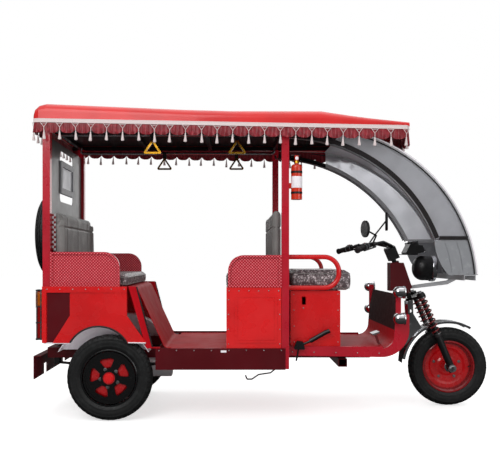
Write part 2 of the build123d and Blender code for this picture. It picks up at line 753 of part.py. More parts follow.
def bullet_lamp():
    """Bullet-shaped lamp bowl along Z from its nose, with a rolled bezel and a domed lens."""
    r, length = LAMP_R, LAMP_LENGTH
    front = length - LAMP_BEZEL
    outline = (
        ThreePointArc((0, 0), (0.62 * r, 0.12 * length), (r - 2, 0.5 * length))
        + Line((r - 2, 0.5 * length), (r - 2, front))
        + Line((r - 2, front), (r, front + 2))
        + Line((r, front + 2), (r, length - 3))
        + Line((r, length - 3), (r - 5, length))
        + Line((r - 5, length), (r - 5, length - 4))
        + Line((r - 5, length - 4), (0, length - 4))
        + Line((0, length - 4), (0, 0))
    )
    dome = Pos(0, 0, length + 3 - 2 * r) * Sphere(2 * r)
    dome &= Pos(0, 0, length - 6) * Cylinder(r - 5, 20, align=(MID, MID, MIN))
    return revolve(Plane.XZ * make_face(outline), Axis.Z) + dome


def front_lamps():
    """Four bullet lamps on the stays beside the leg shield."""
    lamps = None
    foot = FRONT_HALF + SIDE_T + STAY_T
    y = foot + LAMP_R + 1
    for z in LAMP_HEIGHTS:
        bowl = Plane(origin=(LAMP_X0, y, z), z_dir=(1, 0, 0)) * bullet_lamp()
        bowl += block(742, 758, foot, y, z - 9, z + 9)
        pair = both_sides(bowl)
        lamps = pair if lamps is None else lamps + pair
    return lamps


PEDAL_Y = -215.0


def brake_pedal():
    """Foot brake: a tread plate on a stem that rises from the curve of the apron."""
    stem = rod((684, PEDAL_Y, 390), (649, PEDAL_Y, 478), 8)
    stem -= arc_ring((APRON_BEND_X, RAIL_TOP + APRON_BEND), APRON_BEND - SHEET, 140, PEDAL_Y - 20, PEDAL_Y + 20)
    pad = Plane(origin=(650, PEDAL_Y, 476), z_dir=(-0.35, 0, 1)) * Box(44, 90, 10)
    return stem + pad


LEVER_PIVOT = (176.0, 420.0)


def parking_brake():
    """Hand lever on the right, below the driver's seat, on its bracket, and the hook rod under the sill."""
    y = -(FRONT_HALF + SIDE_T)
    px, pz = LEVER_PIVOT
    bracket = side_face((px - 30, 402), (px + 34, 402), (px + 22, pz + 26), (px - 12, pz + 30), corner=5.0)
    plates = side_profile(bracket, y - 8, y) + side_profile(bracket, y - 38, y - 34)
    plates += disc(LEVER_PIVOT, 11, y - 46, y)
    arm = bent_tube(((px, y - 21, pz), (px + 58, y - 21, pz + 26), (px + 132, y - 21, pz + 66)), 60, 7)
    grip = bent_tube(
        ((px + 62, y - 21, pz + 28), (px + 150, y - 21, pz + 78), (px + 176, y - 21, pz + 88)), 60, 13
    )
    tail = rod((px, y - 21, pz), (px - 16, y - 21, pz - 84), 5)
    hook_y = -(BODY_HALF - 18)
    hook = bent_tube(
        (
            (34, hook_y, SILL_BOTTOM + 1), (10, hook_y, 276), (-58, hook_y, 266),
            (-96, hook_y, 240), (-124, hook_y, 240), (-132, hook_y, 262),
        ),
        9, 4,
    )
    hook -= block(-200, 100, hook_y - 20, hook_y + 20, SILL_BOTTOM, SILL_BOTTOM + 20)
    return plates + arm + grip + tail + hook


# ---------------------------------------------------------------- rear end
PLATE_HOLE_SPAN = 150.0    # number plate bolts
PLATE_HOLE_R = 3.3
PLATE_HOLE_Z = 335.0


def rear_bumper():
    """Folded plate across the back, below the body."""
    half = BODY_HALF - 8
    plate = block(-1330, -1326, -half, half, 240, 372)
    plate += block(-1326, -1290, -half, half, 368, 372)
    plate -= both_sides(block(-1340, -1280, 200, 260, 230, 300))
    for y in (-PLATE_HOLE_SPAN / 2, PLATE_HOLE_SPAN / 2):
        plate -= Plane(origin=(-1340, y, PLATE_HOLE_Z), z_dir=(1, 0, 0)) * Cylinder(PLATE_HOLE_R, 60)
    return plate


def tail_lamps():
    """Upright lamp units on the rear corners."""
    lamp = block(-1316, REAR_POST_X - POST / 2, BODY_HALF - 53, BODY_HALF - 4, 470, 740)
    return both_sides(fillet(lamp.edges().group_by(Axis.X)[0], 10))


SPARE_Z = 1065.0
SPARE_REAR_X = -1395.0


def spare_tyre():
    """Spare tyre hung on the rear wall."""
    return Pos(SPARE_REAR_X + TYRE_WIDTH / 2, 0, SPARE_Z) * Rot(0, 0, 90) * tyre_ring()


def spare_rim():
    """Steel disc of the spare wheel."""
    place = Pos(SPARE_REAR_X + TYRE_WIDTH / 2, 0, SPARE_Z) * Rot(0, 0, 90)
    return place * plain_rim(8.0)


def spare_carrier():
    """Plate and stub that carry the spare wheel on the rear wall."""
    stub = Plane(origin=(SPARE_REAR_X + TYRE_WIDTH / 2 + 4, 0, SPARE_Z), z_dir=(1, 0, 0)) * Cylinder(
        30, REAR_POST_X - (SPARE_REAR_X + TYRE_WIDTH / 2 + 4) - 6, align=(MID, MID, MIN)
    )
    return stub + block(REAR_POST_X - 6, REAR_POST_X, -POST_INNER, POST_INNER, SPARE_Z - 50, SPARE_Z + 50)


def differential():
    """Round housing of the differential."""
    return Pos(REAR_AXLE_X, 60, AXLE_Z) * Sphere(88)


def rear_axle():
    """Axle tube with its differential housing."""
    half = REAR_WHEEL_Y - HUB_HALF - CLEAR
    axle = rod((REAR_AXLE_X, -half, AXLE_Z), (REAR_AXLE_X, half, AXLE_Z), 30)
    stub = rod((REAR_AXLE_X, -REAR_WHEEL_Y - 30, AXLE_Z), (REAR_AXLE_X, REAR_WHEEL_Y + 30, AXLE_Z), 12)
    return axle + differential() + stub


def drive_motor():
    """Electric motor, one plain block of the real mass at its place."""
    body = Plane(origin=(REAR_AXLE_X + 85, 60, AXLE_Z), z_dir=(1, 0, 0)) * Cylinder(
        75, 230, align=(MID, MID, MIN)
    )
    return fillet(body.edges().sort_by(Axis.X)[-1], 12) - differential()


def leaf_springs():
    """Two stacks of leaves over the axle, hung from the rails."""
    spring = None
    seat = AXLE_Z + 30
    for leaf, half in enumerate((330.0, 250.0, 170.0)):
        z = seat + 24 - 8 * leaf
        rise = (z1 := RAIL_TOP - RAIL_H - 24 - z) * (half / 330.0) ** 2
        curve = Plane.XZ * make_face(
            ThreePointArc((REAR_AXLE_X - half, z + rise), (REAR_AXLE_X, z), (REAR_AXLE_X + half, z + rise))
            + Line((REAR_AXLE_X + half, z + rise), (REAR_AXLE_X + half, z + rise - 8))
            + ThreePointArc(
                (REAR_AXLE_X + half, z + rise - 8), (REAR_AXLE_X, z - 8), (REAR_AXLE_X - half, z + rise - 8)
            )
            + Line((REAR_AXLE_X - half, z + rise - 8), (REAR_AXLE_X - half, z + rise))
        )
        piece = side_profile(curve, RAIL_Y - 22, RAIL_Y + 22)
        spring = piece if spring is None else spring + piece
    for end in (-1, 1):
        x = REAR_AXLE_X + end * 330
        spring += block(x - 14, x + 14, RAIL_Y - 22, RAIL_Y + 22, RAIL_TOP - RAIL_H - 36, RAIL_TOP - RAIL_H)
    return both_sides(spring)


def fire_extinguisher():
    """Small extinguisher on its bracket on the right middle pillar."""
    x, y = MID_POST_X + 65, -POST_Y
    body = Pos(x, y, 1257) * Cylinder(31.5, 200, align=(MID, MID, MIN))
    body = fillet(body.edges().sort_by(Axis.Z)[-1], 18)
    body += Pos(x, y, 1457) * Cylinder(12, 50, align=(MID, MID, MIN))
    body += block(MID_POST_X + POST / 2, x - 28, y - 10, y + 10, 1320, 1350)
    return body


# ---------------------------------------------------------------- wheels
HUB_HALF = 46.0
HUB_R = 34.0
AXLE_R = 12.0


def tyre_ring():
    """Tyre about the Y axis at the origin: beads, bulged walls and a crowned tread."""
    w, r = TYRE_WIDTH / 2, TYRE_OD / 2
    bead = RIM_OD / 2
    wall = r - bead
    right = (
        Line((bead, 0), (bead, w - 12))
        + ThreePointArc((bead, w - 12), (bead + 0.51 * wall, w), (r - 0.27 * wall, w - 5))
        + Line((r - 0.27 * wall, w - 5), (r - 0.11 * wall, w - 11))
        + ThreePointArc((r - 0.11 * wall, w - 11), (r - 2, (w - 11) / 2), (r, 0))
    )
    left = mirror(right, about=Plane.XZ)
    section = make_face(right + left)
    return revolve(section, Axis.Y)


RIM_WALL = 5.0


def plain_rim(disc_offset=0.0):
    """Pressed rim about the Y axis: flanges, bead seats, a drop centre and a dished disc with a centre hole."""
    bead = RIM_OD / 2 - 0.3
    half = TYRE_WIDTH / 2 - 12
    inner = bead - RIM_WALL
    outline = (
        (bead - 4, half + 3), (bead, half), (bead, half - 14), (bead - 9, half - 19), (bead - 9, -half + 19),
        (bead, -half + 14), (bead, -half), (bead - 4, -half - 3),
        (inner - 4, -half - 3), (inner - 1, -half + 12), (inner - 9, -half + 19),
        (inner - 9, half - 19), (inner - 1, half - 12), (inner - 4, half + 3),
    )
    barrel = revolve(make_face(Polyline(*outline, close=True)), Axis.Y)
    y = disc_offset
    dish = (
        (inner - 7, y - 3), (118, y - 1), (104, y + 9), (62, y + 12), (50, y + 6), (30, y + 6),
        (30, y + 1), (52, y + 1), (64, y + 7), (102, y + 4), (116, y - 6), (inner - 7, y - 8),
    )
    return barrel + revolve(make_face(Polyline(*dish, close=True)), Axis.Y)


def wheel_tyre(x, y):
    """Tyre at a wheel's place."""
    return Pos(x, y, AXLE_Z) * tyre_ring()


def wheel_rim(x, y, side):
    """Rim with its hub on a running bore, its disc dished towards one side."""
    rim = plain_rim(8.0)
    if side < 0:
        rim = mirror(rim, about=Plane.XZ)
    hub = Rot(90, 0, 0) * (Cylinder(HUB_R, 2 * HUB_HALF))
    rim = rim + hub - Rot(90, 0, 0) * Cylinder(AXLE_R + RUNNING_GAP, 200)
    return Pos(x, y, AXLE_Z) * rim


COVER_T = 4.0
COVER_Y = 26.0             # inner face of the cover from the wheel's middle plane
SPOKES = 5
COVER_HOLE = ((58.0, 15.0), (120.0, 24.0))   # radius and half angle of a hole's inner and outer ends


def wheel_cover(x, y, side):
    """Five-spoke disc over the outer face of a rear wheel, with a raised hub ring and lip."""
    rim_inner = RIM_OD / 2 - 15
    face = Cylinder(rim_inner, COVER_T, align=(MID, MID, MIN))
    (r1, a1), (r2, a2) = COVER_HOLE
    corners = [
        (r * cos(radians(a)), r * sin(radians(a))) for r, a in ((r1, -a1), (r2, -a2), (r2, a2), (r1, a1))
    ]
    hole = make_face(Polyline(*corners, close=True))
    hole = extrude(fillet(hole.vertices(), 13), COVER_T)
    for spoke in range(SPOKES):
        face -= Rot(0, 0, 98 + 360 / SPOKES * spoke) * hole
    lip = Cylinder(rim_inner, COVER_T + 6, align=(MID, MID, MIN)) - Cylinder(
        rim_inner - 9, COVER_T + 6, align=(MID, MID, MIN)
    )
    hub = Cylinder(HUB_R + 12, COVER_T + 8, align=(MID, MID, MIN))
    cover = face + lip + hub - Cylinder(HUB_R, 200)
    return Pos(x, y + side * COVER_Y, AXLE_Z) * Rot(-side * 90, 0, 0) * cover


# ---------------------------------------------------------------- steering
YOKE_Z = -146.0
YOKE_T = 14.0
YOKE_BOSS_R = 28.0
STEM_TOP = 198.0
SLIDER_R = 22.0
SLIDER_FOOT = 24.0
SLIDER_TOP = AXLE_LOCAL.Z + 226.0


def yoke_plate():
    """Triangular lower yoke: bosses round the stem and the two legs, joined by straight edges."""
    rims = Circle(YOKE_BOSS_R).edges()
    for side in (-1, 1):
        rims += (Pos(LEG_OFFSET, side * LEG_HALF_SPAN) * Circle(YOKE_BOSS_R)).edges()
    return Pos(0, 0, YOKE_Z) * extrude(make_hull(rims), YOKE_T)


def front_fork():
    """Stem, yoke and two legs that carry the front axle."""
    fork = STEER * Pos(0, 0, YOKE_Z) * Cylinder(STEM_R, STEM_TOP - YOKE_Z, align=(MID, MID, MIN))
    fork += STEER * yoke_plate()
    z_axle = AXLE_LOCAL.Z
    for side in (-1, 1):
        y = side * LEG_HALF_SPAN
        fork += STEER * Pos(LEG_OFFSET, y, z_axle + 20) * Cylinder(
            14, YOKE_Z - z_axle - 20, align=(MID, MID, MIN)
        )
        fork += STEER * Pos(LEG_OFFSET, y, YOKE_Z + YOKE_T) * Cylinder(24, 12, align=(MID, MID, MIN))
        slider = Pos(LEG_OFFSET, y, z_axle - SLIDER_FOOT) * Cylinder(
            SLIDER_R, SLIDER_TOP - z_axle + SLIDER_FOOT, align=(MID, MID, MIN)
        )
        fork += STEER * slider
    fork += rod((FRONT_AXLE_X, -LEG_HALF_SPAN - 34, AXLE_Z), (FRONT_AXLE_X, LEG_HALF_SPAN + 34, AXLE_Z), AXLE_R)
    return fork


SPRING_R = 27.0
SPRING_WIRE = 4.5
SPRING_TURNS = 8


def fork_springs():
    """Coil springs round the upper part of the fork legs, on their end seats."""
    height = YOKE_Z - SLIDER_TOP - 2 * SPRING_WIRE
    mean = SPRING_R - SPRING_WIRE
    path = Helix(height / SPRING_TURNS, height, mean)
    wire = sweep(Plane(origin=path @ 0, z_dir=path % 0) * Circle(SPRING_WIRE), path)
    springs = None
    for side in (-1, 1):
        coil = STEER * Pos(LEG_OFFSET, side * LEG_HALF_SPAN, SLIDER_TOP + SPRING_WIRE) * wire
        springs = coil if springs is None else springs + coil
    return springs


FENDER_R = TYRE_OD / 2 + 41.0
FENDER_HALF = 56.0
FENDER_T = 3.0
FENDER_CENTRE = (FRONT_AXLE_X - 9, AXLE_Z)
FENDER_FROM = 60.0         # angles of the fender's front and rear ends above straight ahead
FENDER_TO = 170.0


def fender_ring(inner, outer, y0, y1):
    """Part of a ring about the fender's centre, between its two ends."""
    cx, cz = FENDER_CENTRE
    reach = 2 * FENDER_R
    rays = [
        (cx + reach * cos(radians(a)), cz + reach * sin(radians(a)))
        for a in (FENDER_FROM, (FENDER_FROM + FENDER_TO) / 2, FENDER_TO)
    ]
    return arc_ring(FENDER_CENTRE, inner, outer, y0, y1) & side_profile(side_face((cx, cz), *rays), y0, y1)


def front_fender():
    """Curved guard over the front wheel, with rolled edges, a carrier to the yoke and stays to the legs."""
    guard = fender_ring(FENDER_R - FENDER_T, FENDER_R, -FENDER_HALF, FENDER_HALF)
    guard += both_sides(fender_ring(FENDER_R - 14, FENDER_R, FENDER_HALF - FENDER_T, FENDER_HALF))
    return guard + fender_carrier() + both_sides(fender_stay())


def fender_point(angle, outside):
    """(x, z) of a place a distance outside the fender at an angle above straight ahead."""
    reach = FENDER_R + outside
    return FENDER_CENTRE[0] + reach * cos(radians(angle)), FENDER_CENTRE[1] + reach * sin(radians(angle))


def fender_carrier():
    """Folded plate from the rear of the yoke down onto the fender, with a round lightening hole."""
    under_yoke = on_axis(-30, 0, YOKE_Z)
    tx, tz = under_yoke.X, under_yoke.Z
    back, foot = (tx + 5, tz - 94), fender_point(152.3, 11)
    side = side_face(
        (tx, tz), (tx + 34, tz + 14), (tx + 37, tz - 77), fender_point(123.4, -1), fender_point(143.7, -24), foot, back
    )
    plate = side_profile(side, 40, 43) - disc((tx + 16, tz - 60), 10, 39, 44)
    web_face = side_face(
        (tx, tz), (tx + 3, tz - 1), (back[0] + 3, back[1]), (foot[0] + 3, foot[1]), foot, back
    )
    carrier = both_sides(plate) + side_profile(web_face, -40, 40)
    return carrier - disc(FENDER_CENTRE, FENDER_R, -60, 60) - STEER * yoke_plate()


def fender_stay():
    """Flat stay from the left fork slider to the fender's edge."""
    low = SLIDER_TOP - 60
    stay = Pos(LEG_OFFSET, FENDER_HALF + 2, (low + AXLE_LOCAL.Z + FENDER_R - 4) / 2) * Box(
        30, 4, AXLE_LOCAL.Z + FENDER_R - 4 - low
    )
    boss = Pos(LEG_OFFSET, FENDER_HALF + 4, low + 18) * Rot(-90, 0, 0) * Cylinder(
        12, LEG_HALF_SPAN - FENDER_HALF - 4, align=(MID, MID, MIN)
    )
    slider = Pos(LEG_OFFSET, LEG_HALF_SPAN, AXLE_LOCAL.Z - SLIDER_FOOT) * Cylinder(
        SLIDER_R, 300, align=(MID, MID, MIN)
    )
    return STEER * (stay + (boss - slider))


CLAMP_FOOT = 126.0         # along the steering axis, clear above the steering head's column


def handlebar():
    """Clamp block on the stem and the bent bar with its grips."""
    clamp = STEER * Pos(4, 0, CLAMP_FOOT) * Box(60, 80, 78, align=(MID, MID, MIN))
    clamp += block(815, 958, -34, 34, 946, 950)
    clamp -= STEER * Pos(0, 0, 100) * Cylinder(STEM_R, STEM_TOP - 100, align=(MID, MID, MIN))
    return clamp + bar_tube() + control_lever() + mirror(control_lever(), about=Plane.XZ)


def control_lever():
    """Hand lever on a perch inboard of the right grip."""
    perch = rod((612, -229, 1001), (632, -201, 1007), 15)
    blade = bent_tube(((626, -214, 1004), (652, -252, 994), (560, -352, 968)), 16, 4.5)
    return perch + rod((626, -214, 1004), (640, -234, 1000), 8) + blade


def bar_tube():
    """The bent handlebar itself."""
    return bent_tube(
        (
            (520, -360, 972), (604, -240, 1000), (720, -130, 1022), (792, -40, 1000),
            (792, 40, 1000), (720, 130, 1022), (604, 240, 1000), (520, 360, 972),
        ),
        30, BAR_R,
    )


BAR_R = 11.0
GRIP_R = 16.0
SWITCH_R = 21.0


def hand_grips():
    """Rubber grips on the bar's ends, each with its switch housing inboard."""
    grips = None
    for side in (-1, 1):
        inner, outer = Vector(604, side * 240, 1000), Vector(520, side * 360, 972)
        along = (outer - inner).normalized()
        start = inner + along * 22
        grip = rod(tuple(start), tuple(outer), GRIP_R)
        grip += rod(tuple(start), tuple(start + along * 38), SWITCH_R)
        grip -= rod(tuple(inner + along * 10), tuple(outer + along * 10), BAR_R)
        grips = grip if grips is None else grips + grip
    return grips


LAMP_BOWL_R = 80.0
LAMP_BOWL_LENGTH = 135.0
LENS_DOME = 300.0          # radius of the lens's curve


def headlamp():
    """Round headlamp: a deep bowl, a rolled bezel and a recessed domed lens."""
    r, length = LAMP_BOWL_R, LAMP_BOWL_LENGTH
    outline = (
        Line((0, 0), (26, 0))
        + ThreePointArc((26, 0), (64, 22), (r - 3, 72))
        + Line((r - 3, 72), (r - 3, length - 26))
        + Line((r - 3, length - 26), (r, length - 26))
        + Line((r, length - 26), (r, length))
        + Line((r, length), (r - 9, length))
        + Line((r - 9, length), (r - 9, length - 12))
        + Line((r - 9, length - 12), (0, length - 12))
        + Line((0, length - 12), (0, 0))
    )
    bowl = revolve(Plane.XZ * make_face(outline), Axis.Z)
    dome = Pos(0, 0, length - 3 - LENS_DOME) * Sphere(LENS_DOME)
    dome &= Pos(0, 0, length - 12.5) * Cylinder(r - 9, 20, align=(MID, MID, MIN))
    return Plane(origin=(935, 0, 866), z_dir=(1, 0, -0.05)) * (bowl + dome)


def instrument_cluster():
    """Instrument housing above the headlamp, with two round pods."""
    outline = side_face((872, 950), (958, 950), (1004, 962), (984, 1004), (905, 1016))
    housing = fillet(side_profile(outline, -62, 62).edges().filter_by(Axis.Y), 9)
    for side in (-1, 1):
        pod = Plane(origin=(938, side * 32, 1000), z_dir=(-0.22, 0, 1)) * Cylinder(
            27, 32, align=(MID, MID, MIN)
        )
        housing += fillet(pod.edges().sort_by(Axis.Z)[-1], 8)
    return housing


# Mirrors: side, stalk foot, elbow, centre of the glass, half height, half width, turn outwards
MIRRORS = (
    (-1, (640, -205, 1013), (655, -235, 1060), (572, -300, 1097), 50.0, 38.0, 24.0),
    (1, (690, 160, 1022), (740, 215, 1080), (824, 280, 1172), 62.0, 36.0, 12.0),
)
MIRROR_T = 16.0


def mirrors():
    """Two oval mirrors on bent stalks, each turned to the driver's eye."""
    pair = None
    bar = bar_tube()
    for side, foot, elbow, centre, half_height, half_width, turn in MIRRORS:
        stalk = rod(foot, elbow, 5) + rod(elbow, centre, 5) + Pos(*elbow) * Sphere(5)
        shell = extrude(Ellipse(half_width, half_height), MIRROR_T)
        shell = fillet(shell.edges().sort_by(Axis.Z)[-1], 7)
        # the glass looks back and a little inwards
        facing = Plane(origin=centre, x_dir=(0, 1, 0), z_dir=(1, 0, 0))
        shell = facing * Rot(0, -side * turn, 0) * shell
        piece = stalk + shell - bar
        pair = piece if pair is None else pair + piece
    return pair


# ---------------------------------------------------------------- build
def build():
    """Make every node, in the order that it is listed."""
    nodes = {
        "chassis_frame": chassis_frame,
        "floor_pan": floor_pan,
        "front_apron": front_apron,
        "front_floor_sides": front_floor_sides,
        "sills": sills,
        "rear_side_panels": rear_side_panels,
        "wheel_arch_liners": wheel_arch_liners,
        "seat_risers": seat_risers,
        "rear_seat_base": rear_seat_base,
        "rear_cushion": rear_cushion,
        "rear_backrest": rear_backrest,
        "arm_panels": arm_panels,
        "rear_wall": rear_wall,
        "rear_window": rear_window,
        "rear_window_pane": rear_window_pane,
        "pillars": pillars,
        "front_bench_box": front_bench_box,
        "front_bench_cushion": front_bench_cushion,
        "front_backrest": front_backrest,
        "driver_seat_box": driver_seat_box,
        "driver_cushion": driver_cushion,
        "driver_loops": driver_loops,
        "roof_shell": roof_shell,
        "roof_frame": roof_frame,
        "valance": valance,
        "grab_rails": grab_rails,
        "grab_handles": grab_handles,
        "windscreen_glass": windscreen_glass,
        "windscreen_frame": windscreen_frame,
        "windscreen_lower": windscreen_lower,
        "windscreen_beam": windscreen_beam,
        "steering_head": steering_head,
        "front_lamps": front_lamps,
        "brake_pedal": brake_pedal,
        "parking_brake": parking_brake,
        "rear_bumper": rear_bumper,
        "tail_lamps": tail_lamps,
        "spare_tyre": spare_tyre,
        "spare_rim": spare_rim,
        "rear_axle": rear_axle,
        "drive_motor": drive_motor,
        "leaf_springs": leaf_springs,
        "fire_extinguisher": fire_extinguisher,
        "front_fork": front_fork,
        "fork_springs": fork_springs,
        "front_fender": front_fender,
        "handlebar": handlebar,
        "hand_grips": hand_grips,
        "headlamp": headlamp,
        "instrument_cluster": instrument_cluster,
        "mirrors": mirrors,
    }
    for name, make in nodes.items():
        parts[name] = make()
    wheels = (
        ("front", FRONT_AXLE_X, 0.0, 1),
        ("rear_right", REAR_AXLE_X, -REAR_WHEEL_Y, -1),
        ("rear_left", REAR_AXLE_X, REAR_WHEEL_Y, 1),
    )
    for name, x, y, side in wheels:
        parts[name + "_tyre"] = wheel_tyre(x, y)
        parts[name + "_rim"] = wheel_rim(x, y, side)
        if name != "front":
            parts[name + "_cover"] = wheel_cover(x, y, side)


build()
os.makedirs("parts", exist_ok=True)
for name, part in parts.items():
    solids = part.solids()
    export_step(Compound(solids) if len(solids) > 1 else solids[0], "parts/" + name + ".step")
    print(name, len(solids), round(sum(s.volume for s in solids)))
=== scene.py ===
"""Dresses a three-wheeled passenger rickshaw: finishes, upholstery, canopy trim, glazing and fittings.

All lengths are metres in the vehicle's frame: +X forward, +Y to its left, +Z up, with the ground at zero.
"""
import logging
from collections.abc import Sequence
from dataclasses import dataclass, field
from enum import Enum
from math import atan2, cos, pi, radians, sin, sqrt, tau
from random import Random
from typing import Any

import bmesh
import bpy
from mathutils import Matrix, Vector


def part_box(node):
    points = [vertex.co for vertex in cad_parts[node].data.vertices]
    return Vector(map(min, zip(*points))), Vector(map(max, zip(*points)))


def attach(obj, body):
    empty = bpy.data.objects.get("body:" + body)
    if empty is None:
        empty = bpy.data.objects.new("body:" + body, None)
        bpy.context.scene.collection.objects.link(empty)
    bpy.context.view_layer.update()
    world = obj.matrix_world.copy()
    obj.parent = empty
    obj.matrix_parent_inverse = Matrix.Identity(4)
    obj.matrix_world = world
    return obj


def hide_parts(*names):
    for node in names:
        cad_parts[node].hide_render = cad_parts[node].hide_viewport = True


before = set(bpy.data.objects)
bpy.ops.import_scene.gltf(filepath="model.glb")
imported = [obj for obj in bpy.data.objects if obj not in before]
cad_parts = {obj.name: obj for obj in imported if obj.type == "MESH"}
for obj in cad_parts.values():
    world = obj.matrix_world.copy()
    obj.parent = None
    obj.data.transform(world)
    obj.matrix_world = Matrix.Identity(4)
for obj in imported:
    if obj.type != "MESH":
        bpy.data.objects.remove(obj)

log = logging.getLogger("rickshaw")

MM = 0.001
WAVES_PER_METRE = 3.2     # of a wave texture at scale 1
MASK_BLUR = 0.001     # half width of the blurred edge between two masked colours
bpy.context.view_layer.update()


# ---------------------------------------------------------------- colours and nodes
Colour = tuple[float, float, float, float]
Material = bpy.types.Material
SMOOTH = {"interpolation_type": "SMOOTHSTEP"}


def linear(code: str, factor: float = 1.0, lift: float = 0.0) -> Colour:
    """Turn an sRGB hex colour into linear RGBA, made paler or darker on the way.

    Args:
        code: a hash and six hex digits.
        factor: what the linear channels are multiplied by.
        lift: what is then added to them.

    Returns:
        The linear colour, no channel over 1.
    """
    channels = [int(code[i:i + 2], 16) / 255 for i in (1, 3, 5)]
    straight = [c / 12.92 if c <= 0.04045 else ((c + 0.055) / 1.055) ** 2.4 for c in channels]
    red, green, blue = (min(1.0, c * factor + lift) for c in straight)
    return red, green, blue, 1.0


def add_node(
    tree: bpy.types.NodeTree,
    kind: str,
    settings: dict[str, Any],
    inputs: dict[str | int, Any],
    out: str | int = 0,
) -> bpy.types.NodeSocket:
    """Add one node with its settings and links.

    Args:
        tree: the node tree that takes the node.
        kind: Blender's type name of the node.
        settings: attributes of the node itself.
        inputs: values by socket name or number; an output socket given as a value is linked.
        out: name or number of the output socket wanted.

    Returns:
        That output socket.
    """
    node = tree.nodes.new(kind)
    for key, value in settings.items():
        setattr(node, key, value)
    for key, value in inputs.items():
        if isinstance(value, bpy.types.NodeSocket):
            tree.links.new(value, node.inputs[key])
        else:
            node.inputs[key].default_value = value
    return node.outputs[out]


def span(value: Any, low: float, high: float, to_low: float = 0.0, to_high: float = 1.0) -> dict[int, Any]:
    """Give a map range node's inputs.

    Args:
        value: the socket to map.
        low: value that gives to_low.
        high: value that gives to_high.
        to_low: result at the low end.
        to_high: result at the high end.

    Returns:
        The inputs by number.
    """
    return {0: value, 1: low, 2: high, 3: to_low, 4: to_high}


def times(first: Any, second: Any) -> tuple[str, dict[str, str], dict[int, Any]]:
    """Give the kind, setting and inputs of a product of two sockets or values."""
    return "ShaderNodeMath", {"operation": "MULTIPLY"}, {0: first, 1: second}


def larger(first: Any, second: Any) -> tuple[str, dict[str, str], dict[int, Any]]:
    """Give the kind, setting and inputs of the larger of two sockets or values."""
    return "ShaderNodeMath", {"operation": "MAXIMUM"}, {0: first, 1: second}


@dataclass(frozen=True)
class Bench:
    """An empty material ready for nodes: its tree, its shader and its coordinates in metres."""

    material: Material
    tree: bpy.types.NodeTree
    shader: bpy.types.Node
    coords: bpy.types.NodeSocket

    @classmethod
    def open(cls, name: str, colour: str) -> "Bench":
        """Make a material with a Principled shader.

        Args:
            name: the material's name.
            colour: sRGB hex, also shown in the viewport.

        Returns:
            The bench.
        """
        material = bpy.data.materials.new(name)
        material.use_nodes = True
        material.diffuse_color = linear(colour)
        tree = material.node_tree
        shader = tree.nodes["Principled BSDF"]
        shader.inputs["Base Color"].default_value = linear(colour)
        return cls(material, tree, shader, add_node(tree, "ShaderNodeTexCoord", {}, {}, "Object"))

    def set(self, **values: Any) -> None:
        """Set or link the shader's sockets.

        Args:
            values: value or socket by the shader socket's name, with underscores for spaces.
        """
        for key, value in values.items():
            socket = self.shader.inputs[key.replace("_", " ")]
            if isinstance(value, bpy.types.NodeSocket):
                self.tree.links.new(value, socket)
            else:
                socket.default_value = value

    def paint(self, share: Any, first: Colour, second: Colour) -> None:
        """Colour the surface from one colour to another by a share, where 0 gives the first."""
        inputs = {0: share, 6: first, 7: second}
        self.set(Base_Color=add_node(self.tree, "ShaderNodeMix", {"data_type": "RGBA"}, inputs, 2))

    def mottle(self, grain_mm: float, detail: float = 2.0, ends: Sequence[float] = (), over: Any = None) -> Any:
        """Soft irregular blotches of a real size.

        Args:
            grain_mm: size of a blotch in millimetres.
            detail: octaves.
            ends: low and high value of the noise, and what they become; empty leaves the noise as it is.
            over: coordinates in place of the object's own.

        Returns:
            The blotches' socket.
        """
        vector = self.coords if over is None else over
        inputs = {"Vector": vector, "Scale": 1 / (grain_mm * MM), "Detail": detail}
        value = add_node(self.tree, "ShaderNodeTexNoise", {}, inputs, "Fac")
        return add_node(self.tree, "ShaderNodeMapRange", SMOOTH, span(value, *ends)) if ends else value

    def cells(self, size_mm: float, settings: dict[str, str], over: Any = None, randomness: float = 1.0) -> Any:
        """Cells of a real size, even or scattered.

        Args:
            size_mm: pitch of the cells in millimetres.
            settings: what is measured in a cell and how.
            over: coordinates in place of the object's own.
            randomness: 0 for an even grid.

        Returns:
            The socket of the distance in the cell.
        """
        vector = self.coords if over is None else over
        inputs = {"Vector": vector, "Scale": 1 / (size_mm * MM), "Randomness": randomness}
        return add_node(self.tree, "ShaderNodeTexVoronoi", settings, inputs, "Distance")

    def threads(self, size_mm: float, direction: str, distortion: float, detail: float) -> Any:
        """Threads of a real size.

        Args:
            size_mm: pitch of the threads in millimetres.
            direction: Blender's name of the way they are stacked.
            distortion: how far they wander.
            detail: octaves of the wandering.

        Returns:
            The socket of the threads' height.
        """
        scale = 1 / (size_mm * MM * WAVES_PER_METRE)
        inputs = {"Vector": self.coords, "Scale": scale, "Distortion": distortion, "Detail": detail}
        return add_node(self.tree, "ShaderNodeTexWave", {"bands_direction": direction}, inputs, "Fac")

    def bump(self, height: Any, depth_mm: float, strength: float, under: Any = None) -> Any:
        """Raise the surface.

        Args:
            height: the height's socket.
            depth_mm: what a height of 1 raises, in millimetres.
            strength: share of the bump that is used.
            under: the normal of a bump that lies below this one.

        Returns:
            The normal's socket, which is also linked to the shader.
        """
        inputs = {"Height": height, "Distance": depth_mm * MM, "Strength": strength}
        if under is not None:
            inputs["Normal"] = under
        normal = add_node(self.tree, "ShaderNodeBump", {}, inputs, "Normal")
        self.set(Normal=normal)
        return normal


# ---------------------------------------------------------------- finishes
@dataclass(frozen=True)
class Finish:
    """A finish, named by its real material and process, with its colour."""

    name: str
    colour: str

    def make(self) -> Material:
        """Build the material.

        Returns:
            The material.
        """
        bench = Bench.open(self.name, self.colour)
        self.lay(bench)
        return bench.material

    def lay(self, bench: Bench) -> None:
        """Lay the finish's nodes.

        Args:
            bench: the empty material.
        """


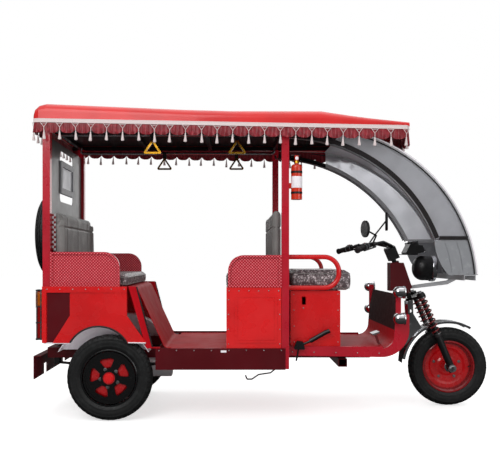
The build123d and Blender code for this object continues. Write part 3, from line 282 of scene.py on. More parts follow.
@dataclass(frozen=True)
class Enamel(Finish):
    """Stoving enamel sprayed on sheet steel: a wet gloss with faint orange peel and slow panel waves."""

    roughness: float = 0.3
    coat: float = 0.7
    peel_mm: float = 3.5
    wave_mm: float = 0.9
    level: float = 0.5

    def lay(self, bench: Bench) -> None:
        """Lay the drifting colour, the gloss, the waves and the peel.

        Args:
            bench: the empty material.
        """
        bench.paint(bench.mottle(240, 3, (0.35, 0.7)), linear(self.colour), linear(self.colour, 0.86))
        bench.set(
            Roughness=bench.mottle(90, 2, (0.3, 0.75, self.roughness, self.roughness + 0.08)),
            Coat_Weight=self.coat, Coat_Roughness=0.1, IOR=1.5, Specular_IOR_Level=self.level,
        )
        waves = bench.bump(bench.mottle(190, 1), self.wave_mm, 0.3)
        bench.bump(bench.mottle(self.peel_mm, 1), 0.03, 0.12, waves)


@dataclass(frozen=True)
class TwoToneRim(Finish):
    """Enamelled steel wheel, masked at a radius: one colour on its disc and another on its flange."""

    flange: str
    centre_x: float
    mask_r: float = 0.138

    def lay(self, bench: Bench) -> None:
        """Lay the two colours, the gloss and the pressing's ripple.

        Args:
            bench: the empty material.
        """
        kind, across, hub = "ShaderNodeVectorMath", (1, 0, 1), (self.centre_x, 0, AXLE_Z)
        flat = add_node(bench.tree, kind, {"operation": "MULTIPLY"}, {0: bench.coords, 1: across})
        reach = add_node(bench.tree, kind, {"operation": "DISTANCE"}, {0: flat, 1: hub}, "Value")
        edge = span(reach, self.mask_r - MASK_BLUR, self.mask_r + MASK_BLUR)
        outside = add_node(bench.tree, "ShaderNodeMapRange", SMOOTH, edge)
        bench.paint(outside, linear(self.colour), linear(self.flange))
        bench.set(
            Roughness=bench.mottle(40, 3, (0.3, 0.75, 0.2, 0.34)), Coat_Weight=0.7, Coat_Roughness=0.06, IOR=1.5
        )
        bench.bump(bench.mottle(30, 1), 0.3, 0.4)


@dataclass(frozen=True)
class LegShieldPaintedShade(Finish):
    """Floor enamel up to a height, and above it a matt dark brown that paints in the shade on the upper leg
    shield.
    """

    # colour of the painted shade above mask_z
    high: str
    mask_z: float

    def lay(self, bench: Bench) -> None:
        """Lay the enamel and the painted shade above it, the dull gloss and the brush marks.

        Args:
            bench: the empty material.
        """
        height = add_node(bench.tree, "ShaderNodeSeparateXYZ", {}, {0: bench.coords}, "Z")
        edge = span(height, self.mask_z - 2 * MASK_BLUR, self.mask_z + 2 * MASK_BLUR)
        above = add_node(bench.tree, "ShaderNodeMapRange", SMOOTH, edge)
        # the dark brown above mask_z is painted shade on the upper shield
        bench.paint(above, linear(self.colour), linear(self.high))
        bench.set(Roughness=bench.mottle(30, 4, (0.3, 0.75, 0.5, 0.62)), IOR=1.5, Specular_IOR_Level=0.12)
        bench.bump(bench.mottle(2.5, 2), 0.05, 0.3)


@dataclass(frozen=True)
class EmbossedEnamelPaintedGlints(Finish):
    """Enamel over steel sheet rolled with diagonal rows of small studs, with a painted highlight on each stud's
    crown and the sheet between painted darker as shade.
    """

    # colour of the painted highlight on each stud's crown
    crown: str
    pitch_mm: float = 12.0
    stud_mm: float = 1.6

    def lay(self, bench: Bench) -> None:
        """Lay the studs, with painted highlights on their crowns and the sheet between painted darker.

        Args:
            bench: the empty material.
        """
        split = add_node(bench.tree, "ShaderNodeSeparateXYZ", {}, {0: bench.coords}, "X").node
        flat = add_node(
            bench.tree, "ShaderNodeCombineXYZ", {}, {"X": split.outputs["X"], "Y": split.outputs["Z"]}
        )
        rows = add_node(bench.tree, "ShaderNodeMapping", {}, {"Vector": flat, "Rotation": (0, 0, radians(45))})
        reach = bench.cells(self.pitch_mm, {"voronoi_dimensions": "2D"}, rows, 0.0)
        stud = add_node(bench.tree, "ShaderNodeMapRange", SMOOTH, span(reach, 0.42, 0.12))
        # painted light: pale pink highlight on the stud crowns, the sheet between darkened to 0.62 as shade
        bench.paint(stud, linear(self.colour, 0.62), linear(self.crown))
        bench.set(Roughness=0.3, Coat_Weight=0.6, Coat_Roughness=0.1, IOR=1.5)
        bench.bump(stud, self.stud_mm, 0.9)


@dataclass(frozen=True)
class Plated(Finish):
    """Bright plating on pressed steel: a mirror with a faint ripple from the pressing under it."""

    roughness: float = 0.09
    ripple_mm: float = 0.25

    def lay(self, bench: Bench) -> None:
        """Lay the bloom on the mirror and its ripple.

        Args:
            bench: the empty material.
        """
        bench.paint(bench.mottle(80, 2, (0.4, 0.8)), linear(self.colour), linear(self.colour, 0.8))
        bloom = bench.mottle(35, 4, (0.45, 0.75, self.roughness, self.roughness + 0.14))
        bench.set(Metallic=1.0, Roughness=bloom)
        bench.bump(bench.mottle(28, 1), self.ripple_mm, 0.35)


@dataclass(frozen=True)
class Moulded(Finish):
    """Injection-moulded plastic: a fine spark-eroded grain that softens every highlight."""

    roughness: float = 0.45
    grain_mm: float = 1.2
    grain_depth_mm: float = 0.06

    def lay(self, bench: Bench) -> None:
        """Lay the worn colour, the gloss and the grain.

        Args:
            bench: the empty material.
        """
        bench.paint(bench.mottle(45, 4, (0.5, 0.8)), linear(self.colour), linear(self.colour, 1.25, 0.004))
        gloss = bench.mottle(18, 3, (0.3, 0.8, self.roughness - 0.05, self.roughness + 0.12))
        bench.set(Roughness=gloss, IOR=1.5)
        bench.bump(bench.mottle(self.grain_mm, 2), self.grain_depth_mm, 0.6)


@dataclass(frozen=True)
class TyreRubber(Finish):
    """Vulcanised rubber: near black, matt, with a dusty bloom on the high parts."""

    bloom: str

    def lay(self, bench: Bench) -> None:
        """Lay the dust, the dull gloss and the mould's grain.

        Args:
            bench: the empty material.
        """
        bench.paint(bench.mottle(30, 5, (0.45, 0.8)), linear(self.colour), linear(self.bloom))
        bench.set(Roughness=bench.mottle(9, 3, (0.3, 0.8, 0.55, 0.8)), IOR=1.52)
        bench.bump(bench.mottle(1.6, 3), 0.15, 0.5)


@dataclass(frozen=True)
class PrintedVinyl(Finish):
    """Embossed vinyl leathercloth printed in silver over brown: short bright flecks that catch the light."""

    fleck: str
    fleck_mm: float = 11.0
    leather_mm: float = 2.4

    def lay(self, bench: Bench) -> None:
        """Lay the flecks over the leather grain.

        Args:
            bench: the empty material.
        """
        squat = {"Vector": bench.coords, "Scale": (1.0, 1.0, 0.6)}
        stretch = add_node(bench.tree, "ShaderNodeMapping", {}, squat)
        leaves = bench.cells(self.fleck_mm, {"feature": "DISTANCE_TO_EDGE"}, stretch, 0.9)
        inside = add_node(bench.tree, "ShaderNodeMapRange", SMOOTH, span(leaves, 0.06, 0.2))
        swirl = bench.mottle(self.fleck_mm * 1.4, 2, (0.42, 0.58), stretch)
        mask = add_node(bench.tree, *times(inside, swirl))
        bench.paint(mask, linear(self.colour), linear(self.fleck))
        gloss = add_node(bench.tree, "ShaderNodeMapRange", SMOOTH, span(mask, 0.0, 1.0, 0.5, 0.28))
        bench.set(Roughness=gloss, IOR=1.5, Coat_Weight=0.15, Coat_Roughness=0.25)
        grain = bench.bump(bench.mottle(self.leather_mm, 3), 0.25, 0.5)
        bench.bump(mask, 0.6, 0.5, grain)


@dataclass(frozen=True)
class GrainedVinyl(Finish):
    """Calendered vinyl leathercloth: a pebbled grain, dull in the hollows and smooth where backs rub it."""

    grain_mm: float = 3.0
    roughness: float = 0.42

    def lay(self, bench: Bench) -> None:
        """Lay the rubbed colour and the pebbles.

        Args:
            bench: the empty material.
        """
        rubbed = bench.mottle(90, 3, (0.4, 0.7))
        bench.paint(rubbed, linear(self.colour), linear(self.colour, 1.22))
        dull = span(rubbed, 0.0, 1.0, self.roughness + 0.1, self.roughness)
        bench.set(Roughness=add_node(bench.tree, "ShaderNodeMapRange", SMOOTH, dull), IOR=1.5)
        pebble = bench.cells(self.grain_mm, {"feature": "DISTANCE_TO_EDGE"})
        bench.bump(add_node(bench.tree, "ShaderNodeMapRange", SMOOTH, span(pebble, 0.0, 0.25)), 0.3, 0.55)


@dataclass(frozen=True)
class Satin(Finish):
    """Woven rayon satin: long floats that shine along the folds, over a deep colour."""

    thread_mm: float = 1.6     # drawn coarser than the real 0.2 mm so that it shows

    def lay(self, bench: Bench) -> None:
        """Lay the shifting colour, the sheen and the warp.

        Args:
            bench: the empty material.
        """
        bench.paint(bench.mottle(22, 3, (0.4, 0.75)), linear(self.colour), linear(self.colour, 1.7, 0.01))
        bench.set(Roughness=0.36, Sheen_Weight=0.5, Sheen_Roughness=0.35, IOR=1.45)
        bench.bump(bench.threads(self.thread_mm, "Z", 1.5, 1.0), 0.12, 0.4)


@dataclass(frozen=True)
class Yarn(Finish):
    """Twisted cotton yarn: soft, off-white, with shadow between its strands."""

    strand_mm: float = 1.5

    def lay(self, bench: Bench) -> None:
        """Lay the strands.

        Args:
            bench: the empty material.
        """
        strand = bench.threads(self.strand_mm, "DIAGONAL", 3.0, 2.0)
        bench.paint(strand, linear(self.colour, 0.8), linear(self.colour))
        bench.set(Roughness=0.85, Sheen_Weight=0.3, IOR=1.45)
        bench.bump(strand, 0.4, 0.7)


@dataclass(frozen=True)
class SmokedSheet(Finish):
    """Extruded acrylic sheet, lightly smoked: the light passes through, greyed and a little hazed."""

    roughness: float = 0.12

    def lay(self, bench: Bench) -> None:
        """Lay the haze.

        Args:
            bench: the empty material.
        """
        bench.paint(bench.mottle(130, 4, (0.35, 0.7)), linear(self.colour), linear(self.colour, 0.85))
        hazed = bench.mottle(130, 4, (0.3, 0.75, self.roughness, self.roughness + 0.15))
        bench.set(Roughness=hazed, IOR=1.49, Transmission_Weight=0.62)
        bench.bump(bench.mottle(140, 1), 0.15, 0.2)


@dataclass(frozen=True)
class PrismLens(Finish):
    """Moulded acrylic lamp lens: its prisms break the light into small bright cells."""

    prism_mm: float = 7.0
    clear: float = 0.6

    def lay(self, bench: Bench) -> None:
        """Lay the clear plastic and its prisms.

        Args:
            bench: the empty material.
        """
        bench.set(Roughness=0.08, IOR=1.49, Transmission_Weight=self.clear)
        bench.set(Coat_Weight=0.5, Coat_Roughness=0.03)
        bench.bump(bench.cells(self.prism_mm, {"distance": "CHEBYCHEV"}, None, 0.0), 1.2, 0.6)


# ---------------------------------------------------------------- mesh helpers
Path = Sequence[Vector]
STEER_RAKE = radians(22.9)
STEER_POINT = Vector((0.8615, 0.0, 0.8))
STEER_FRAME = Matrix.Translation(STEER_POINT) @ Matrix.Rotation(-STEER_RAKE, 4, "Y")


class Side(Enum):
    """The two sides of the vehicle, by the sign of Y."""

    RIGHT = -1
    LEFT = 1


@dataclass
class Shape:
    """Vertices and faces gathered for one piece."""

    verts: list[Vector] = field(default_factory=list)
    faces: list[tuple[int, ...]] = field(default_factory=list)

    def add(self, other: "Shape") -> "Shape":
        """Take in another shape and return this one.

        Args:
            other: the shape to take in.

        Returns:
            This shape.
        """
        start = len(self.verts)
        self.verts += other.verts
        self.faces += [tuple(i + start for i in face) for face in other.faces]
        return self

    def placed(self, matrix: Matrix) -> "Shape":
        """Return a copy moved by a matrix, its faces still outward.

        Args:
            matrix: where to.

        Returns:
            The copy.
        """
        flip = matrix.to_3x3().determinant() < 0
        faces = [tuple(reversed(face)) for face in self.faces] if flip else list(self.faces)
        return Shape([matrix @ v for v in self.verts], faces)

    def at(self, x: float, y: float, z: float) -> "Shape":
        """Return a copy moved to a place."""
        return self.placed(Matrix.Translation((x, y, z)))

    def mirrored(self) -> "Shape":
        """Return the shape's mirror image across the centre plane."""
        return self.placed(Matrix.Scale(-1, 4, (0, 1, 0)))

    def both_sides(self) -> "Shape":
        """Return the shape together with its mirror image."""
        return Shape(list(self.verts), list(self.faces)).add(self.mirrored())


def facing(origin: Sequence[float], normal: Sequence[float]) -> Matrix:
    """Give the matrix that puts local Z along a normal at an origin."""
    turn = Vector(normal).to_track_quat("Z", "Y").to_matrix().to_4x4()
    return Matrix.Translation(origin) @ turn


def lathe(profile: Sequence[tuple[float, float]], sides: int = 32) -> Shape:
    """Turn a profile about Z.

    Args:
        profile: (radius, height) pairs; a radius of zero closes the end.
        sides: facets round the axis.

    Returns:
        The turned shape.
    """
    shape = Shape()
    rings: list[list[int]] = []
    for radius, height in profile:
        if radius <= 0:
            shape.verts.append(Vector((0, 0, height)))
            rings.append([len(shape.verts) - 1])
            continue
        start = len(shape.verts)
        for k in range(sides):
            angle = tau * k / sides
            shape.verts.append(Vector((radius * cos(angle), radius * sin(angle), height)))
        rings.append(list(range(start, start + sides)))
    for low, high in zip(rings, rings[1:]):
        for k in range(sides):
            n = (k + 1) % sides
            if len(low) == 1 and len(high) == 1:
                continue
            if len(low) == 1:
                shape.faces.append((low[0], high[n], high[k]))
            elif len(high) == 1:
                shape.faces.append((low[k], low[n], high[0]))
            else:
                shape.faces.append((low[k], low[n], high[n], high[k]))
    return shape


def lofted(rings: Sequence[Sequence[Vector]], closed: bool = False) -> Shape:
    """Skin a run of rings that have the same number of points.

    Args:
        rings: the rings in order.
        closed: whether the last ring joins the first.

    Returns:
        The skin, its ends capped when it is open.
    """
    size, last = len(rings[0]), len(rings) - 1
    shape = Shape([point for ring in rings for point in ring])
    for i in range(last + 1 if closed else last):
        low, high = i * size, (i + 1) % (last + 1) * size
        for k in range(size):
            n = (k + 1) % size
            shape.faces.append((low + k, high + k, high + n, low + n))
    if not closed:
        shape.faces.append(tuple(range(size)))
        shape.faces.append(tuple(last * size + k for k in reversed(range(size))))
    return shape


def swept(path: Path, section: Sequence[tuple[float, float]], closed: bool = False) -> Shape:
    """Carry a closed section along a path without twisting it.

    Args:
        path: points of the path.
        section: its (sideways, upwards) points.
        closed: whether the path joins its own start.

    Returns:
        The swept shape.
    """
    up = Vector((0, 0, 1))
    rings: list[list[Vector]] = []
    for i, point in enumerate(path):
        before = path[i - 1] if closed or i else point
        after = path[(i + 1) % len(path)] if closed or i < len(path) - 1 else point
        along = (after - before).normalized()
        if i == 0 and abs(along.dot(up)) > 0.95:
            up = Vector((1, 0, 0))
        across = along.cross(up).normalized()
        up = across.cross(along).normalized()
        rings.append([point + across * sideways + up * upwards for sideways, upwards in section])
    return lofted(rings, closed)


def tube(path: Path, radius: float, sides: int = 12, closed: bool = False) -> Shape:
    """Carry a circle along a path."""
    ring = [(radius * cos(tau * k / sides), radius * sin(tau * k / sides)) for k in range(sides)]
    return swept(path, ring, closed)


def rounded_path(points: Path, bend: float, steps: int = 6) -> list[Vector]:
    """Round the corners of a run of points.

    Args:
        points: the corner points, with both ends.
        bend: length cut from each side of a corner.
        steps: points added at each corner.

    Returns:
        The rounded path.
    """
    path = [points[0]]
    for before, corner, after in zip(points, points[1:], points[2:]):
        start = corner + (before - corner).normalized() * bend
        end = corner + (after - corner).normalized() * bend
        for k in range(steps + 1):
            t = k / steps
            path.append(start.lerp(corner, t).lerp(corner.lerp(end, t), t))
    path.append(points[-1])
    return path


def arc_path(
    centre: tuple[float, float], radius: float, y: float, start: float, end: float, steps: int
) -> list[Vector]:
    """Give points of an arc in a plane of constant Y, from one angle in degrees to another."""
    angles = [radians(start + (end - start) * k / steps) for k in range(steps + 1)]
    return [Vector((centre[0] + radius * cos(a), y, centre[1] + radius * sin(a))) for a in angles]


def taken(mesh: bmesh.types.BMesh) -> Shape:
    """Take the shape out of a finished bmesh and free it.

    Args:
        mesh: the bmesh.

    Returns:
        Its shape.
    """
    mesh.verts.index_update()
    shape = Shape([v.co.copy() for v in mesh.verts], [tuple(v.index for v in f.verts) for f in mesh.faces])
    mesh.free()
    return shape


def ring_of(inner: float, outer: float, low: float, high: float, sides: int = 36) -> Shape:
    """Plain ring about Z, open at its bore.

    Args:
        inner: bore's radius; zero makes a disc.
        outer: outer radius.
        low: height of its lower face.
        high: height of its upper face.
        sides: facets round the axis.

    Returns:
        The ring.
    """
    return lathe([(inner, low), (outer, low), (outer, high), (inner, high)], sides)


def cuboid(size: Sequence[float], chamfer: float = 0.0) -> Shape:
    """Box about the origin.

    Args:
        size: its length along X, Y and Z.
        chamfer: size of the rounded chamfer on every edge.

    Returns:
        The box.
    """
    mesh = bmesh.new()
    bmesh.ops.create_cube(mesh, size=1.0, matrix=Matrix.Diagonal((*size, 1.0)))
    if chamfer:
        bmesh.ops.bevel(mesh, geom=mesh.edges[:], offset=chamfer, segments=2, affect="EDGES", profile=0.6)
    return taken(mesh)


def slab(outline: Sequence[tuple[float, float]], thickness: float, chamfer: float = 0.0) -> Shape:
    """Flat plate with an outline in XY, its thickness up from zero, and a chamfered top edge.

    Args:
        outline: counter-clockwise (x, y) points.
        thickness: height of the plate.
        chamfer: size of the chamfer at the top edge.

    Returns:
        The plate.
    """
    mesh = bmesh.new()
    low = [mesh.verts.new((x, y, 0.0)) for x, y in outline]
    face = mesh.faces.new(low)
    lifted = bmesh.ops.extrude_face_region(mesh, geom=[face])
    top = [item for item in lifted["geom"] if isinstance(item, bmesh.types.BMVert)]
    bmesh.ops.translate(mesh, verts=top, vec=(0, 0, thickness))
    if chamfer:
        rim = [e for e in mesh.edges if all(v.co.z > thickness - 1e-7 for v in e.verts)]
        bmesh.ops.bevel(mesh, geom=rim, offset=chamfer, segments=2, affect="EDGES", profile=0.6)
    bmesh.ops.recalc_face_normals(mesh, faces=mesh.faces[:])
    return taken(mesh)


def hex_bolt(radius: float, height: float) -> Shape:
    """Hexagon head on a washer, standing on the plane Z = 0.

    Args:
        radius: half the head's width.
        height: height of head and washer.

    Returns:
        The bolt head.
    """
    washer = ring_of(0, radius * 1.45, 0, height * 0.25, 20)
    corner = radius * 1.05
    head = lathe([(corner, height * 0.25), (corner, height * 0.85), (radius * 0.9, height), (0, height)], 6)
    return washer.add(head)


def dome_rivet(radius: float) -> Shape:
    """Low domed rivet head standing on the plane Z = 0."""
    shares = ((1, 0), (0.92, 0.3), (0.6, 0.55), (0, 0.66))
    return lathe([(radius * outward, radius * upward) for outward, upward in shares], 14)


def piece(
    name: str, shape: Shape, finish: Material, body: str, slot: str, smooth: float = 35.0
) -> bpy.types.Object:
    """Turn a shape into an object that rides on a body.

    Args:
        name: the object's name.
        shape: its mesh.
        finish: its material.
        body: the CAD body that it rides on.
        slot: the record's material slot; not used.
        smooth: largest angle in degrees that is shaded smooth.

    Returns:
        The object.
    """
    mesh = bpy.data.meshes.new(name)
    mesh.from_pydata([tuple(v) for v in shape.verts], [], shape.faces)
    mesh.validate()
    mesh.materials.append(finish)
    obj = bpy.data.objects.new(name, mesh)
    bpy.context.scene.collection.objects.link(obj)
    mesh.shade_smooth()
    mesh.set_sharp_from_angle(angle=radians(smooth))
    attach(obj, body)
    log.info("%s: %d faces on %s", name, len(shape.faces), body)
    return obj


# ---------------------------------------------------------------- driving sizes shared with the solids
ROOF_REAR_X = -1.328
ROOF_FRONT_X = 0.790
ROOF_HALF = 0.500
PIPING_REAR_Z = 1.707
PIPING_FRONT_Z = 1.667
AXLE_Z = 0.245
FRONT_AXLE_X = 1.150
REAR_AXLE_X = -0.905
REAR_WHEEL_Y = 0.420
TYRE_HALF = 0.0475
SPARE_PLACE = Vector((-1.395 + TYRE_HALF, 0.0, 1.065))
NUT_SMOOTH = 30.0     # largest smoothed angle on nuts, so that their flats stay flat


def piping_z(x: float) -> float:
    """Height of the roof's lower edge at a distance along the vehicle."""
    share = (x - ROOF_REAR_X) / (ROOF_FRONT_X - ROOF_REAR_X)
    return PIPING_REAR_Z + share * (PIPING_FRONT_Z - PIPING_REAR_Z)


# ---------------------------------------------------------------- studio
@dataclass(frozen=True)
class Lamp:
    """One soft box: its place, what it looks at, its width and its power in watts."""

    name: str
    place: tuple[float, float, float]
    target: tuple[float, float, float]
    width: float
    power: float


def light_path(tree: bpy.types.NodeTree) -> bpy.types.bpy_prop_collection:
    """Add a light path node and return its outputs, by name."""
    return add_node(tree, "ShaderNodeLightPath", {}, {}).node.outputs


def directly_seen(tree: bpy.types.NodeTree, rays: bpy.types.bpy_prop_collection) -> bpy.types.NodeSocket:
    """Share of a ray that the eye sees straight or through something clear."""
    return add_node(tree, *larger(rays["Is Camera Ray"], rays["Is Transmission Ray"]))


@dataclass
class Studio:
    """Pale floor, soft light and the camera."""

    camera_place: tuple[float, float, float] = (-0.2085, -4.40, 0.92)
    lens_mm: float = 50.1
    shift: tuple[float, float] = (0.036, 0.042)
    floor_half: float = 30.0
    ambient: float = 0.42
    glow_from: float = 0.12
    paper: str = "#f4f4f4"
    paper_mirrored: str = "#2c2c2c"
    floor_lift: float = 0.62
    lamps: tuple[Lamp, ...] = (
        Lamp("key", (-1.8, -4.2, 3.6), (0.0, 0.0, 0.9), 3.0, 95.0),
        Lamp("fill", (3.4, -3.6, 1.8), (0.4, 0.0, 0.8), 2.4, 30.0),
        Lamp("overhead", (0.0, 0.3, 4.6), (0.0, 0.0, 0.0), 4.0, 45.0),
        Lamp("far_side", (0.5, 4.4, 2.6), (0.0, 0.0, 0.9), 3.0, 35.0),
    )

    def build(self) -> None:
        """Set up everything that isn't the vehicle."""
        bpy.context.scene.view_settings.view_transform = "Standard"
        self.light_world()
        self.lay_floor()
        for lamp in self.lamps:
            self.hang(lamp)
        self.place_camera()

    def light_world(self) -> None:
        """White to the eye, dimmer as light, and in reflections bright above and dark at the horizon."""
        world = bpy.data.worlds.new("studio")
        bpy.context.scene.world = world
        world.use_nodes = True
        tree = world.node_tree
        rays = light_path(tree)
        way = add_node(tree, "ShaderNodeTexCoord", {}, {}, "Generated")
        height = add_node(tree, "ShaderNodeSeparateXYZ", {}, {0: way}, "Z")
        glow = add_node(tree, "ShaderNodeMapRange", SMOOTH, span(height, self.glow_from, 0.85, 0.07, 0.9))
        mirrored = add_node(tree, *times(rays["Is Glossy Ray"], glow))
        level = add_node(tree, *times(rays["Is Diffuse Ray"], self.ambient))
        brightest = add_node(tree, *larger(directly_seen(tree, rays), mirrored))
        strength = add_node(tree, *larger(brightest, level))
        tree.links.new(strength, tree.nodes["Background"].inputs["Strength"])
        tree.nodes["Background"].inputs["Color"].default_value = (1, 1, 1, 1)

    def lay_floor(self) -> None:
        """A matt floor, lifted to white for the eye and dark in reflections, that keeps a soft shadow."""
        half = self.floor_half
        mesh = bpy.data.meshes.new("floor")
        corners = [(-half, -half, 0), (half, -half, 0), (half, half, 0), (-half, half, 0)]
        mesh.from_pydata(corners, [], [(0, 1, 2, 3)])
        floor = bpy.data.objects.new("floor", mesh)
        bpy.context.scene.collection.objects.link(floor)
        bench = Bench.open("floor_paper", self.paper)
        tree = bench.tree
        rays = light_path(tree)
        bench.paint(rays["Is Glossy Ray"], linear(self.paper), linear(self.paper_mirrored))
        lift = add_node(tree, *times(directly_seen(tree, rays), self.floor_lift))
        bench.set(Roughness=0.9, Emission_Color=(1, 1, 1, 1), Emission_Strength=lift)
        mesh.materials.append(bench.material)

    def hang(self, lamp: Lamp) -> None:
        """Hang one soft box.

        Args:
            lamp: the soft box.
        """
        light = bpy.data.lights.new(lamp.name, "AREA")
        light.shape = "SQUARE"
        light.size = lamp.width
        light.energy = lamp.power
        obj = bpy.data.objects.new(lamp.name, light)
        obj.location = lamp.place
        aim = Vector(lamp.target) - Vector(lamp.place)
        obj.rotation_euler = aim.to_track_quat("-Z", "Y").to_euler()
        bpy.context.scene.collection.objects.link(obj)

    def place_camera(self) -> None:
        """Level camera on the vehicle's right."""
        data = bpy.data.cameras.new("camera")
        data.lens = self.lens_mm
        data.sensor_width = 36.0
        data.shift_x, data.shift_y = self.shift
        camera = bpy.data.objects.new("camera", data)
        camera.location = self.camera_place
        camera.rotation_euler = (radians(90), 0, 0)
        bpy.context.scene.collection.objects.link(camera)
        bpy.context.scene.camera = camera


# ---------------------------------------------------------------- paint shop
def mixed(finish: Finish) -> Any:
    """Declare a field whose value is a finish's material, built with the shop."""
    return field(default_factory=finish.make)


@dataclass
class PaintShop:
    """Every finish of the vehicle, mixed once, and the solids that wear each."""

    red: Material = mixed(Enamel("stoved_enamel_red", "#dd0f14", 0.24, 0.6))
    maroon: Material = mixed(Enamel("stoved_enamel_maroon", "#5c0410", 0.3, 0.25, level=0.3))
    crimson: Material = mixed(Enamel("stoved_enamel_crimson", "#bd0c26", 0.26, 0.5))
    floor: Material = mixed(Enamel("floor_enamel_crimson", "#bc0a1a", 0.5, 0.0, level=0.08))
    # the dark brown on the upper leg shield is painted shade
    leg_shield: Material = mixed(LegShieldPaintedShade("leg_shield_paint_with_painted_shade", "#b80a1a", "#33191a", 0.51))
    vermilion: Material = mixed(Enamel("stoved_enamel_vermilion", "#e6161a", 0.26, 0.5))
    black: Material = mixed(Enamel("chassis_black", "#0c0c0e", 0.42, 0.3))
    grey_paint: Material = mixed(Enamel("stoved_enamel_grey", "#4b4544", 0.4, 0.3))
    gloss_black: Material = mixed(Enamel("piano_black", "#060607", 0.12, 1.0))
    front_rim: Material = mixed(TwoToneRim("rim_enamel_front", "#c40c14", "#8f1016", FRONT_AXLE_X))
    rear_rim: Material = mixed(TwoToneRim("rim_enamel_rear", "#b30a12", "#0c0c0e", REAR_AXLE_X))
    silver: Material = mixed(Enamel("aluminium_paint", "#b4b5b8", 0.34, 0.4, 1.8))
    canopy: Material = mixed(Enamel("gelcoat_red", "#e31c1c", 0.36, 0.45, 5.0, 0.6))
    # the pale pink stud crowns are painted highlights
    embossed: Material = mixed(EmbossedEnamelPaintedGlints("studded_steel_red_painted_glints", "#dc0e2a", "#ff7c88"))
    chrome: Material = mixed(Plated("nickel_chrome_plate", "#dcdde0"))
    brass: Material = mixed(Plated("lacquered_brass", "#c9942c", 0.2, 0.4))
    zinc: Material = mixed(Plated("zinc_plated_steel", "#b9bbbd", 0.32, 0.15))
    mirror: Material = mixed(Plated("silvered_mirror", "#e6e9ec", 0.02, 0.02))
    black_plastic: Material = mixed(Moulded("abs_black", "#161617", 0.4))
    grey_plastic: Material = mixed(Moulded("abs_grey", "#8d8f93", 0.42))
    white_plastic: Material = mixed(Moulded("polypropylene_white", "#fbf5fb", 0.5))
    rubber: Material = mixed(TyreRubber("tyre_rubber", "#0b0c0d", "#1d1f1f"))
    trim_rubber: Material = mixed(Moulded("epdm_trim", "#1a1416", 0.55, 2.0))
    seat: Material = mixed(PrintedVinyl("printed_leathercloth", "#625558", "#ddd2d4"))
    back: Material = mixed(GrainedVinyl("grey_leathercloth", "#7f7d7b"))
    satin: Material = mixed(Satin("rayon_satin_claret", "#7c1420"))
    yarn: Material = mixed(Yarn("cotton_yarn_white", "#f3e3e2"))
    smoked: Material = mixed(SmokedSheet("smoked_acrylic", "#d8d9de", 0.3))
    red_lens: Material = mixed(PrismLens("acrylic_lens_red", "#a00c0c"))
    amber_lens: Material = mixed(PrismLens("acrylic_lens_amber", "#e07812"))
    clear_lens: Material = mixed(PrismLens("acrylic_lens_clear", "#e8ebee", 6.0, 0.85))
    spring: Material = mixed(Enamel("spring_enamel_red", "#7d1418", 0.3, 0.6))
    bottle: Material = mixed(Enamel("bottle_enamel_scarlet", "#d8300e", 0.25, 0.8))

    def wardrobe(self) -> dict[Material, str]:
        """List what wears each finish.

        Returns:
            The solids' names, with spaces between them, by finish.
        """
        return {
            self.red: "rear_side_panels driver_seat_box driver_loops",
            self.maroon: "chassis_frame sills steering_head rear_bumper",
            self.crimson: "front_floor_sides pillars",
            self.floor: "floor_pan seat_risers rear_seat_base",
            self.leg_shield: "front_apron",
            self.vermilion: "front_bench_box",
            self.black: "roof_frame parking_brake spare_rim rear_axle leaf_springs front_fork handlebar",
            self.grey_paint: "rear_wall",
            self.gloss_black: "front_cover rear_right_cover rear_left_cover",
            self.front_rim: "front_rim",
            self.rear_rim: "rear_right_rim rear_left_rim",
            self.silver: "windscreen_frame windscreen_beam drive_motor",
            self.canopy: "roof_shell",
            self.embossed: "arm_panels",
            self.chrome: "grab_rails front_lamps front_fender",
            self.brass: "grab_handles",
            self.zinc: "brake_pedal",
            self.black_plastic: "hand_grips headlamp instrument_cluster mirrors",
            self.grey_plastic: "rear_window windscreen_lower",
            self.white_plastic: "wheel_arch_liners",
            self.rubber: "spare_tyre front_tyre rear_right_tyre rear_left_tyre",
            self.seat: "rear_cushion front_bench_cushion driver_cushion",
            self.back: "rear_backrest front_backrest",
            self.satin: "valance",
            self.smoked: "rear_window_pane windscreen_glass",
            self.red_lens: "tail_lamps",
            self.spring: "fork_springs",
            self.bottle: "fire_extinguisher",
        }

    def dress(self) -> None:
        """Put each finish on the solids that wear it."""
        wear = {name: finish for finish, names in self.wardrobe().items() for name in names.split()}
        for name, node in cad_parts.items():
            for place in node.material_slots:
                place.material = wear[name]
            if not node.material_slots:
                node.data.materials.append(wear[name])
        log.info("dressed %d solids", len(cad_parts))


